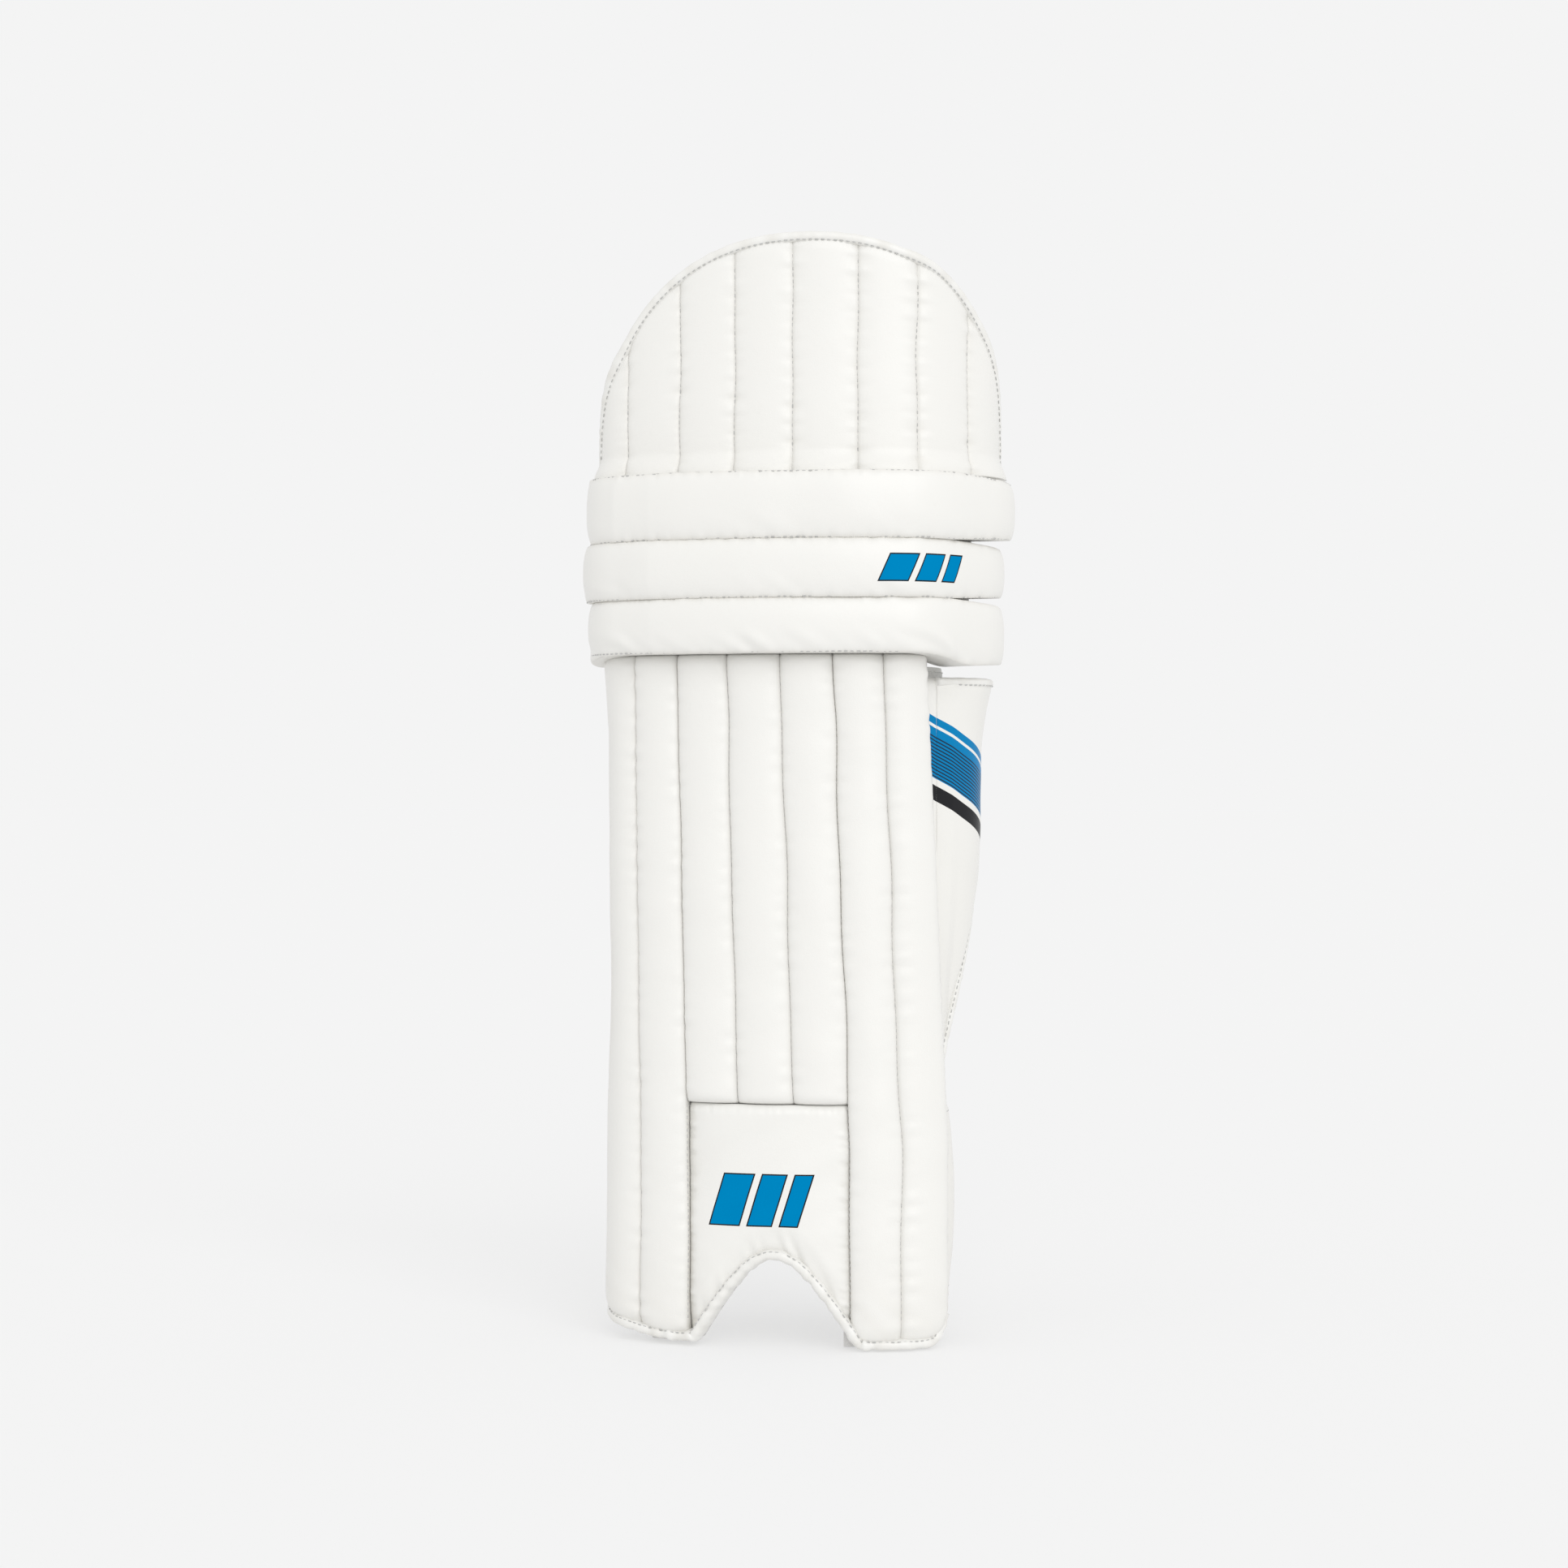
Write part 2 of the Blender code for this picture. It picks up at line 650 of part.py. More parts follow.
wing_hinge = plan(WING_HINGE_U, WING_HINGE_T)
wing_axis = body_axis("outer_wing_axis", wing_hinge[0], wing_hinge[1], WING_BOTTOM)
make_outer_wing(wing_axis)

for strap, (strap_low, strap_width) in STRAPS.items():
    on_flap = strap == "ankle_strap"
    pivot = plan(SIDE_EDGE - 2.5, FLAP_THICKNESS + 2 if on_flap else SIDE_PANEL + 1,
                 INNER_FLAP_NARROW if on_flap else 1.0)
    strap_axis = body_axis(f"{strap}_axis", pivot[0], pivot[1], strap_low)
    make_strap(strap, pivot, strap_axis)
    make_patch(f"{strap}_loop_patch", strap_low, strap_width)
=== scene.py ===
"""Looks of the cricket leg pad: quilted leather covers, rolls, bindings, wing, straps and stitching.

Lengths are worked out in millimetres on the same wrap as the CAD model: u is the distance round the
pad from its centre line, z the height and t the distance in front of the lining. The function wrap
turns them into metres in the row frame.
"""
import json
import math

import bpy
import numpy as np
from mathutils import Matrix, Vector

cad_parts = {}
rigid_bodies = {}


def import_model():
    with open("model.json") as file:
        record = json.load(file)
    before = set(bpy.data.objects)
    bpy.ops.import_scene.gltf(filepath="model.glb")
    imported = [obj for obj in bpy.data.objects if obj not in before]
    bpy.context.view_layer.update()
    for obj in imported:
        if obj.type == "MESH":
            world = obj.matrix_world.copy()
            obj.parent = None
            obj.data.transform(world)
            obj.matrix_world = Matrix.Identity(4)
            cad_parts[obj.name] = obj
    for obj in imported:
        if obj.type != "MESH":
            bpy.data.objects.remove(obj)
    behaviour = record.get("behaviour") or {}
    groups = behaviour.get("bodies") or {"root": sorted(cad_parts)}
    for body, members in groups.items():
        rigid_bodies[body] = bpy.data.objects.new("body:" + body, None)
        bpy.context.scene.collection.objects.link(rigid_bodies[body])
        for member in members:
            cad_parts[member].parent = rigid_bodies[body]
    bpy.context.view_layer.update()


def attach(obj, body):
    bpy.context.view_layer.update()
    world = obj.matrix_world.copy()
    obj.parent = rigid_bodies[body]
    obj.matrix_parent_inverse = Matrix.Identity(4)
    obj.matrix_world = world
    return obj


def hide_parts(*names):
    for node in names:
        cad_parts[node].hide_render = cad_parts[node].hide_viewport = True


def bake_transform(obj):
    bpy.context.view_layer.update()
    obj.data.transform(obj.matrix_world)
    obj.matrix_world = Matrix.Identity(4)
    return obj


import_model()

MM = 0.001
CENTRE_X, CENTRE_Y = 13.87, 48.02      # the design's centre line, seen from the row frame's origin
WRAP_BENDS = ((-150, -90), (-110, -84), (-101, -74), (-84, -16), (84, 16), (98, 46), (134, 57),
              (160, 103), (225, 110))
SHIN_TOP, ROLL_SEAM_LOWER, ROLL_SEAM_UPPER, HAT_BASE, PAD_HEIGHT = 445.0, 480.0, 517.5, 560.5, 720.0
INSTEP_TOP, ARCH_TOP, SHIN_EDGE, INSTEP_SIDE = 157.0, 57.5, 110.5, 51.0
INSTEP_RIGHT, COVER_EDGE = 47.5, 102.0
SHIN_SEAMS = (-110.5, -80.5, -51, -18.6, 15.0, INSTEP_RIGHT, 78.5, COVER_EDGE)
HAT_SEAMS = (-87.4, -50.5, -14.1, 22.7, 63.3, 98, 134.5)
HAT_CENTRE, HAT_HALF_WIDTH, HAT_ROUNDNESS, HAT_SPREAD = 31.5, 143.0, 2.2, 1.08
HAT_TOP = PAD_HEIGHT - 4.5             # the soft rim sits a little below the pad's full height
HINGE_DEPTH, KNEE_BEND = 25.0, math.radians(10)
WING_START, WING_BOTTOM, WING_TOP = 112.8, 170.0, 430.5
STRAPS = {"knee_strap": (396, 42), "calf_strap": (254, 46), "ankle_strap": (80, 38)}
SIDE_EDGE, SIDE_PANEL, FLAP_THICKNESS = -150.0, 9.0, 3.5
FLAP_BOTTOM, FLAP_TOP, OUTER_FLAP_END = 29.0, 153.0, 166.0


# ------------------------------------------------------------------ the wrap
def build_path(step=0.25):
    bends = np.array(WRAP_BENDS, float)
    lengths = np.arange(-200, 260 + step, step)
    headings = np.radians(np.interp(lengths, bends[:, 0], bends[:, 1]))
    round_off = np.ones(25) / 25
    headings = np.convolve(np.pad(headings, 12, mode="edge"), round_off, mode="valid")
    across = np.concatenate([[0], np.cumsum(np.cos((headings[1:] + headings[:-1]) / 2) * step)])
    back = np.concatenate([[0], np.cumsum(np.sin((headings[1:] + headings[:-1]) / 2) * step)])
    middle = np.argmin(abs(lengths))
    return lengths, headings, across - across[middle], back - back[middle]


PATH = build_path()


def plan(u, t, spread=1.0):
    """Plan position in millimetres, before centring; u, t and spread may be arrays."""
    lengths, headings, across, back = PATH
    at = np.asarray(u, float) / spread
    heading = np.interp(at, lengths, headings)
    x = np.interp(at, lengths, across) * spread + np.sin(heading) * t
    y = np.interp(at, lengths, back) * spread - np.cos(heading) * t
    return x, y


def place(x, y, z):
    x, y, z = np.broadcast_arrays(x, y, z)
    return np.stack([(x - CENTRE_X) * MM, (y - CENTRE_Y) * MM, z * MM], axis=-1)


def wrap(u, z, t, spread=1.0):
    x, y = plan(u, t, spread)
    return place(x, y, z)


def smooth(low, high, value):
    part = np.clip((np.asarray(value, float) - low) / (high - low), 0, 1)
    return part * part * (3 - 2 * part)


def run_length(points):
    """Distance along a polyline at each of its points."""
    return np.concatenate([[0], np.cumsum(np.linalg.norm(np.diff(points, axis=0), axis=1))])


def directions(points):
    """Unit direction of a polyline at each of its points."""
    along = np.gradient(points, axis=0)
    return along / np.linalg.norm(along, axis=1, keepdims=True)


def ripple(value, seed, wavelength):
    """Smooth uneven wave of about one unit's height, the same each run."""
    random = np.random.default_rng(seed)
    total = 0
    for _ in range(5):
        length = wavelength * random.uniform(0.6, 1.7)
        total = total + np.sin(2 * np.pi * (np.asarray(value, float) / length + random.random()))
    return total / 2.4


# ------------------------------------------------------------------ meshes
def add_mesh(name, points, faces, uv, wear=None):
    """Mesh object from points in metres. uv holds (u, z) in millimetres for the materials; the optional last
    argument, 0 to 1, holds painted shade in creases together with wear.
    """
    mesh = bpy.data.meshes.new(name)
    mesh.from_pydata(np.asarray(points).reshape(-1, 3).tolist(), [], faces)
    mesh.validate()
    corner = np.empty(len(mesh.loops), np.int32)
    mesh.loops.foreach_get("vertex_index", corner)
    layer = mesh.uv_layers.new(name="wrap")
    layer.data.foreach_set("uv", np.asarray(uv, float).reshape(-1, 2)[corner].ravel() * MM)
    if wear is not None:
        attribute = mesh.attributes.new("wear", "FLOAT", "POINT")
        attribute.data.foreach_set("value", np.clip(np.asarray(wear, np.float32).ravel(), 0, 1))
    mesh.polygons.foreach_set("use_smooth", [True] * len(mesh.polygons))
    mesh.update()
    piece = bpy.data.objects.new(name, mesh)
    bpy.context.scene.collection.objects.link(piece)
    return piece


def grid_faces(rows, columns, start=0, flip=False):
    faces = []
    for i in range(rows - 1):
        for j in range(columns - 1):
            a = start + i * columns + j
            quad = (a, a + 1, a + columns + 1, a + columns)
            faces.append(quad[::-1] if flip else quad)
    return faces


def tube_faces(rows, columns):
    """Faces of a capped tube of rows rings, each of columns points."""
    faces = []
    for i in range(rows - 1):
        for j in range(columns):
            k = (j + 1) % columns
            faces.append((i * columns + j, i * columns + k, (i + 1) * columns + k, (i + 1) * columns + j))
    faces.append(tuple(range(columns))[::-1])
    faces.append(tuple((rows - 1) * columns + j for j in range(columns)))
    return faces


def solid_sheet(name, front, back, uv, wear=None):
    """Closed piece between two grids of points, [row, column, xyz], front and back."""
    rows, columns = front.shape[:2]
    count = rows * columns
    faces = grid_faces(rows, columns) + grid_faces(rows, columns, count, True)
    rim = ([(0, j) for j in range(columns)] + [(i, columns - 1) for i in range(1, rows)]
           + [(rows - 1, j) for j in range(columns - 2, -1, -1)] + [(i, 0) for i in range(rows - 2, 0, -1)])
    index = [i * columns + j for i, j in rim]
    for a, b in zip(index, index[1:] + index[:1]):
        faces.append((b, a, a + count, b + count))
    points = np.concatenate([front.reshape(-1, 3), back.reshape(-1, 3)])
    both = None if wear is None else np.concatenate([wear.ravel(), wear.ravel() * 0])
    piece = add_mesh(name, points, faces, np.concatenate([uv.reshape(-1, 2)] * 2), both)
    showing = piece.data.attributes.new("outer_face", "FLOAT", "POINT")
    showing.data.foreach_set("value", np.repeat(np.array([1, 0], np.float32), count))
    return piece


def face_out(piece):
    """Turn the faces outwards where the piece came out inside out."""
    mesh = piece.data
    count = len(mesh.vertices)
    points = np.empty(count * 3)
    mesh.vertices.foreach_get("co", points)
    points = points.reshape(-1, 3)
    mesh.calc_loop_triangles()
    corners = np.empty(len(mesh.loop_triangles) * 3, np.int32)
    mesh.loop_triangles.foreach_get("vertices", corners)
    a, b, c = points[corners.reshape(-1, 3)].transpose(1, 0, 2)
    if np.einsum("ij,ij->i", a, np.cross(b, c)).sum() < 0:
        mesh.flip_normals()
    return piece


# ------------------------------------------------------------------ materials
def new_material(name, colour, roughness, specular=0.5):
    material = bpy.data.materials.new(name)
    material.use_nodes = True
    nodes, links = material.node_tree.nodes, material.node_tree.links
    shader = nodes["Principled BSDF"]
    shader.inputs["Base Color"].default_value = (*colour, 1)
    shader.inputs["Roughness"].default_value = roughness
    shader.inputs["Specular IOR Level"].default_value = specular
    return material, nodes, links, shader


class Nodes:
    """Small helper that adds and wires shader nodes."""
    def __init__(self, nodes, links):
        self.nodes, self.links = nodes, links

    def add(self, kind, **inputs):
        node = self.nodes.new(kind)
        for key, value in inputs.items():
            self.feed(node.inputs[key.replace("_", " ")], value)
        return node

    def feed(self, socket, value):
        if isinstance(value, bpy.types.NodeSocket):
            self.links.new(value, socket)
        else:
            socket.default_value = value

    def math(self, operation, a, b=0.0, c=0.0):
        node = self.nodes.new("ShaderNodeMath")
        node.operation = operation
        for socket, value in zip(node.inputs, (a, b, c)):
            self.feed(socket, value)
        return node.outputs[0]

    def mix(self, factor, a, b):
        node = self.nodes.new("ShaderNodeMix")
        node.data_type = "RGBA"
        self.feed(node.inputs["Factor"], factor)
        self.feed(node.inputs[6], (*a, 1) if isinstance(a, tuple) else a)
        self.feed(node.inputs[7], (*b, 1) if isinstance(b, tuple) else b)
        return node.outputs[2]

    def noise(self, vector, scale, detail=3.0, roughness=0.55):
        return self.add("ShaderNodeTexNoise", Vector=vector, Scale=scale, Detail=detail,
                        Roughness=roughness).outputs["Fac"]

    def ramp(self, value, low, high):
        node = self.nodes.new("ShaderNodeMapRange")
        self.feed(node.inputs["Value"], value)
        node.inputs["From Min"].default_value = low
        node.inputs["From Max"].default_value = high
        return node.outputs["Result"]

    def bump(self, height, strength, distance, normal=None):
        node = self.add("ShaderNodeBump", Height=height, Strength=strength, Distance=distance)
        if normal is not None:
            self.links.new(normal, node.inputs["Normal"])
        return node.outputs["Normal"]

    def stored(self, name):
        """A value kept on the mesh's points."""
        node = self.nodes.new("ShaderNodeAttribute")
        node.attribute_name = name
        return node.outputs["Fac"]

    def position(self):
        return self.nodes.new("ShaderNodeTexCoord").outputs["Object"]

    def wrap_axes(self):
        uv = self.nodes.new("ShaderNodeUVMap")
        uv.uv_map = "wrap"
        split = self.add("ShaderNodeSeparateXYZ", Vector=uv.outputs["UV"])
        return uv.outputs["UV"], split.outputs["X"], split.outputs["Y"]


def shaded(colour, part):
    return tuple(part * c for c in colour)


WHITE = (0.80, 0.793, 0.765)
# tint of the painted shade in creases, also used for wear
SHADE_AND_WEAR_TINT = (0.66, 0.635, 0.58)
BLUE = (0.0, 0.20, 0.455)
BLACK = (0.018, 0.018, 0.020)


def leather(name, white=WHITE, roughness=0.40, prints=None):
    """Coated white leather: fine grain and faint creasing; painted shade makes it warmer and darker in its
    creases, where it is also duller.
    """
    material, nodes, links, shader = new_material(name, white, roughness)
    n = Nodes(nodes, links)
    where = n.position()
    grain = n.add("ShaderNodeTexVoronoi", Vector=where, Scale=1400.0).outputs["Distance"]
    fine = n.noise(where, 900.0, 4.0)
    creasing = n.noise(where, 120.0, 5.0, 0.6)
    patch = n.noise(where, 14.0, 3.0)
    wear = n.stored("wear")
    colour = n.mix(n.math("MULTIPLY", n.ramp(patch, 0.35, 0.75), 0.22), white, shaded(white, 0.965))
    # painted shade: a warm darker tint where the mesh marks creases, and wear where it marks wear
    colour = n.mix(n.math("MULTIPLY", wear, 0.55), colour, SHADE_AND_WEAR_TINT)
    scuff = n.ramp(n.noise(where, 60.0, 6.0, 0.7), 0.66, 0.80)
    colour = n.mix(n.math("MULTIPLY", scuff, 0.10), colour, (0.60, 0.59, 0.56))
    if prints is not None:
        printed, ink = prints(n, colour)
        outside = n.math("GREATER_THAN", n.stored("outer_face"), 0.98)
        colour = n.mix(outside, colour, printed)
        bare = n.math("SUBTRACT", 1.0, n.math("MULTIPLY", ink, outside))
        links.new(n.math("MULTIPLY", bare, 0.5), shader.inputs["Specular IOR Level"])
    links.new(colour, shader.inputs["Base Color"])
    rough = n.math("ADD", n.math("MULTIPLY", fine, 0.12), roughness - 0.06)
    rough = n.math("ADD", rough, n.math("MULTIPLY", wear, 0.15))
    links.new(rough, shader.inputs["Roughness"])
    normal = n.bump(grain, 0.10, 0.0003)
    normal = n.bump(creasing, 0.16, 0.0009, normal)
    links.new(n.bump(patch, 0.10, 0.004, normal), shader.inputs["Normal"])
    if prints is None:
        shader.inputs["Coat Weight"].default_value = 0.10
        shader.inputs["Coat Roughness"].default_value = 0.22
    return material


def weave(name, colour, dark, pitch, roughness=0.85, height=0.0003):
    """Plain weave in the wrap's own axes, with threads pitch millimetres apart."""
    material, nodes, links, shader = new_material(name, colour, roughness, 0.25)
    n = Nodes(nodes, links)
    _uv, across, up = n.wrap_axes()
    turn = 2 * math.pi / (pitch * MM)
    warp = n.math("SINE", n.math("MULTIPLY", across, turn))
    weft = n.math("SINE", n.math("MULTIPLY", up, turn))
    cross = n.math("MULTIPLY", warp, weft)
    where = n.position()
    fuzz = n.noise(where, 1800.0, 4.0)
    body = n.math("ADD", n.math("MULTIPLY", cross, 0.5), fuzz)
    patch = n.noise(where, 30.0, 3.0)
    colour_out = n.mix(n.math("MULTIPLY", n.ramp(cross, -1.0, 1.0), 0.25), colour, dark)
    colour_out = n.mix(n.math("MULTIPLY", patch, 0.2), colour_out, shaded(colour, 0.86))
    links.new(colour_out, shader.inputs["Base Color"])
    links.new(n.bump(body, 0.7, height), shader.inputs["Normal"])
    shader.inputs["Sheen Weight"].default_value = 0.15
    return material


def pile(name, colour, scale):
    """Hook or loop tape: a dense fuzzy pile."""
    material, nodes, links, shader = new_material(name, colour, 0.95, 0.15)
    n = Nodes(nodes, links)
    where = n.position()
    loops = n.add("ShaderNodeTexVoronoi", Vector=where, Scale=scale).outputs["Distance"]
    fuzz = n.noise(where, scale * 2.2, 5.0, 0.7)
    colour_out = n.mix(n.ramp(loops, 0.0, 0.9), colour, shaded(colour, 0.78))
    links.new(n.mix(n.math("MULTIPLY", fuzz, 0.35), colour_out, shaded(colour, 0.7)),
              shader.inputs["Base Color"])
    links.new(n.bump(n.math("ADD", loops, fuzz), 0.9, 0.0006), shader.inputs["Normal"])
    return material


def thread_material(name, colour):
    material, nodes, links, shader = new_material(name, colour, 0.7, 0.3)
    n = Nodes(nodes, links)
    twist = n.add("ShaderNodeTexWave", Vector=n.position(), Scale=900.0, Distortion=1.5).outputs["Fac"]
    links.new(n.mix(n.math("MULTIPLY", twist, 0.4), colour, shaded(colour, 0.8)),
              shader.inputs["Base Color"])
    links.new(n.bump(twist, 0.5, 0.0002), shader.inputs["Normal"])
    return material


def cane_material():
    material, nodes, links, shader = new_material("cane_wood", (0.55, 0.36, 0.17), 0.55)
    n = Nodes(nodes, links)
    stretch = n.add("ShaderNodeMapping", Vector=n.position())
    stretch.inputs["Scale"].default_value = (60, 60, 2.5)
    fibre = n.noise(stretch.outputs["Vector"], 12.0, 5.0, 0.7)
    links.new(n.mix(fibre, (0.62, 0.43, 0.22), (0.38, 0.22, 0.09)), shader.inputs["Base Color"])
    links.new(n.bump(fibre, 0.5, 0.0005), shader.inputs["Normal"])
    return material


def slanted_bars(n, across, up, middle, half_height, lean, bars):
    """1 inside leaning bars; bars holds (centre, half width) in millimetres round the pad."""
    rise = n.math("SUBTRACT", up, middle * MM)
    level = n.math("COMPARE", rise, 0.0, half_height * MM)
    total = None
    for centre, half_width in bars:
        shifted = n.math("SUBTRACT", n.math("SUBTRACT", across, n.math("MULTIPLY", rise, lean)), centre * MM)
        bar = n.math("MULTIPLY", n.math("COMPARE", shifted, 0.0, half_width * MM), level)
        total = bar if total is None else n.math("MAXIMUM", total, bar)
    return total


def emblem(middle, height, lean, bars, outline=0.9):
    """A generic mark of leaning bars, blue inside a dark outline."""
    def prints(n, colour):
        _uv, across, up = n.wrap_axes()
        outer = slanted_bars(n, across, up, middle, height / 2, lean, bars)
        inner = slanted_bars(n, across, up, middle, height / 2 - outline, lean,
                             [(centre, half - outline) for centre, half in bars])
        shade = n.mix(n.noise(n.position(), 25.0, 2.0), BLUE, (0.0, 0.225, 0.49))
        return n.mix(inner, n.mix(outer, colour, BLACK), shade), outer
    return prints


STRIPE_SLOPE = 0.50
THIN_BAND, PINSTRIPED_BAND, BLACK_BAND = (399.5, 404.5), (365.0, 397.5), (350.5, 360.5)
STRIPE_START, BOW_START, PIN_PITCH, PIN_TOP = 0.1035, 0.113, 0.0023, 0.3925      # metres


def wing_stripes(n, colour):
    """Falling stripes: thin blue line, pinstriped blue field and black bar."""
    _uv, across, up = n.wrap_axes()
    drop = n.math("MULTIPLY", n.math("SUBTRACT", across, WING_START * MM), STRIPE_SLOPE)
    beyond = n.math("MAXIMUM", n.math("SUBTRACT", across, BOW_START), 0.0)
    bow = n.math("MULTIPLY", n.math("POWER", beyond, 2.0), 2.0)
    level = n.math("ADD", n.math("ADD", up, drop), bow)

    def band(low, high):
        return n.math("COMPARE", level, (low + high) / 2 * MM, (high - low) / 2 * MM)

    start = n.math("GREATER_THAN", across, STRIPE_START)
    top = n.math("MULTIPLY", band(*THIN_BAND), start)
    field = n.math("MULTIPLY", band(*PINSTRIPED_BAND), start)
    pins = n.math("FRACT", n.math("DIVIDE", level, PIN_PITCH))
    pins = n.math("MULTIPLY", n.math("LESS_THAN", pins, 0.42), n.math("LESS_THAN", level, PIN_TOP))
    bar = n.math("MULTIPLY", band(*BLACK_BAND), start)
    colour = n.mix(top, colour, BLUE)
    colour = n.mix(field, colour, n.mix(pins, BLUE, (0.012, 0.03, 0.06)))
    ink = n.math("MULTIPLY", n.math("MAXIMUM", n.math("MAXIMUM", top, field), bar), 0.8)
    return n.mix(bar, colour, BLACK), ink


MIDDLE_ROLL_MARK = emblem(498.5, 18.0, 0.45, [(97, 10), (119, 8), (137, 6)])
INSTEP_MARK = emblem(96.0, 34.0, 0.30, [(-14, 10), (8, 8), (26, 6)])

MATERIALS = {
    "leather": leather("pad_leather"),
    "leather_roll": leather("roll_leather", roughness=0.38),
    "leather_mark": leather("roll_leather_printed", roughness=0.38, prints=MIDDLE_ROLL_MARK),
    "leather_instep": leather("instep_leather_printed", prints=INSTEP_MARK),
    "leather_wing": leather("wing_leather_printed", roughness=0.30, prints=wing_stripes),
    "binding": leather("binding_leather", (0.80, 0.795, 0.77), 0.36),
    "lining": weave("lining_weave", (0.77, 0.765, 0.75), (0.62, 0.615, 0.60), 1.6),
    "strap": weave("strap_webbing_weave", (0.82, 0.82, 0.80), (0.62, 0.62, 0.60), 1.9, 0.7, 0.0005),
    "hook": pile("hook_tape_pile", (0.74, 0.74, 0.72), 900.0),
    "loop": pile("loop_tape_pile", (0.80, 0.80, 0.78), 650.0),
    "thread": thread_material("seam_thread", (0.56, 0.56, 0.55)),
    "thread_light": thread_material("edge_thread", (0.80, 0.80, 0.78)),
    "cane": cane_material(),
}


def finish_piece(piece, material, body, replaces=()):
    piece.data.materials.clear()
    piece.data.materials.append(MATERIALS[material])
    face_out(piece)
    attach(piece, body)
    if replaces:
        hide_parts(*replaces)
    return piece


# ------------------------------------------------------------------ stitches
def stitches(name, runs, body, material="thread", length=2.4, gap=1.6, radius=0.38):
    """Thread showing along seams. runs is a list of (points, normals) polylines in metres."""
    points, faces = [], []
    sides, rings = 5, ((0.0, 0.35), (0.18, 1.0), (0.82, 1.0), (1.0, 0.35))
    for path, normals in runs:
        run = run_length(path)
        starts = np.arange(gap * MM, run[-1] - length * MM, (length + gap) * MM)
        for number, start in enumerate(starts):
            stretch = (0.92 + 0.16 * ((number * 0.618) % 1)) * length * MM
            for part, width in rings:
                at = start + stretch * part
                centre = np.array([np.interp(at, run, path[:, k]) for k in range(3)])
                ahead = np.array([np.interp(at + 5e-4, run, path[:, k]) for k in range(3)])
                normal = np.array([np.interp(at, run, normals[:, k]) for k in range(3)])
                along = ahead - centre
                along = along / (np.linalg.norm(along) + 1e-12)
                side = np.cross(along, normal)
                side = side / (np.linalg.norm(side) + 1e-12)
                dip = -0.25 * MM * (2 * part - 1) ** 2
                for k in range(sides):
                    angle = 2 * math.pi * k / sides
                    points.append(centre + normal * (dip + radius * MM * width * 0.7 * math.cos(angle))
                                  + side * radius * MM * width * math.sin(angle))
            first = len(points) - sides * len(rings)
            for ring in range(len(rings) - 1):
                for k in range(sides):
                    m = (k + 1) % sides
                    a = first + ring * sides
                    faces.append((a + k, a + m, a + sides + m, a + sides + k))
            faces.append(tuple(first + k for k in range(sides))[::-1])
            faces.append(tuple(first + (len(rings) - 1) * sides + k for k in range(sides)))
    piece = add_mesh(name, np.array(points), faces, np.zeros((len(points), 2)))
    return finish_piece(piece, material, body)


def wrap_run(u, z, t, spread=1.0, lift=0.0):
    """A polyline on the wrap with its outward normals."""
    u, z, t = (np.asarray(value, float) for value in np.broadcast_arrays(u, z, t))
    path = wrap(u, z, t + lift, spread)
    normals = wrap(u, z, t + 1, spread) - wrap(u, z, t, spread)
    return path, normals / np.linalg.norm(normals, axis=1, keepdims=True)


# ------------------------------------------------------------------ quilted panels
def cosine_spread(low, high, count):
    """Values from low to high, packed towards both ends."""
    angle = np.linspace(0, np.pi, count)
    return (low + high) / 2 - np.cos(angle) * (high - low) / 2 * (1 - 0.12 * np.sin(angle) ** 2)


def quilt_columns(seams, per_channel=15):
    columns = []
    for low, high in zip(seams, seams[1:]):
        columns += list(cosine_spread(low, high, per_channel)[:-1])
    return np.array(columns + [seams[-1]])


SEAM_LEAN = (SHIN_SEAMS, (0, 4.5, 7, 8, 9.4, 10.8, 9.5, 17))


def seam_lean(u, z):
    """The shin seams lean outwards as they run down, and waver a little."""
    hold = np.clip(np.minimum(u + SHIN_EDGE, COVER_EDGE - u) / 30, 0, 1)
    down = np.clip((SHIN_TOP - z) / (SHIN_TOP - 130), 0, 1)
    waver = ripple(z + 3 * u, 11, 130) * 0.55 * np.clip((SHIN_TOP - z) / 40, 0, 1)
    return np.interp(u, *SEAM_LEAN) * down + waver * hold


def channel_height(u, z, seams, crests, base, seed, pucker=0.42, tightness=2.2):
    """Height of a stuffed quilt above the lining at (u, z)."""
    seams, crests = np.asarray(seams, float), np.asarray(crests, float)
    index = np.clip(np.searchsorted(seams, u, side="right") - 1, 0, len(seams) - 2)
    low, high = seams[index], seams[index + 1]
    part = np.clip(np.abs(2 * u - low - high) / (high - low), 0, 1)
    body = 0.62 * (1 - part ** tightness) ** 0.9 + 0.38 * (1 - part ** 14) ** 0.5
    lumps = 1 + 0.045 * ripple(z, seed + 5, 120) + 0.03 * ripple(z + 31 * index, seed + 9, 46)
    near = (1 - part) * (high - low) / 2
    side = np.where(2 * u > low + high, 1, 0)
    seam = index + side
    tucks = ripple(z + 17.3 * seam, seed, 8.5) + 0.6 * ripple(z + 7.1 * seam, seed + 2, 17)
    wrinkle = pucker * tucks * np.exp(-((near - 2.2) / 3.2) ** 2)
    return base + crests[index] * body * lumps + wrinkle


def close_edge(distance, reach):
    """0 at an edge rising to 1 at reach millimetres from it, in a round shoulder."""
    part = np.clip(np.asarray(distance, float) / reach, 0, 1)
    return np.sqrt(np.clip(1 - (1 - part) ** 2, 0, 1))


SHIN_CRESTS = (3.6, 6.2, 6.4, 6.4, 6.4, 6.8, 5.6)
SHIN_VALLEY = 12.8
WAIST = ((40, 155, 228, 395, 440), (0.05, 0.15, 0.30, 0.19, 0.0))


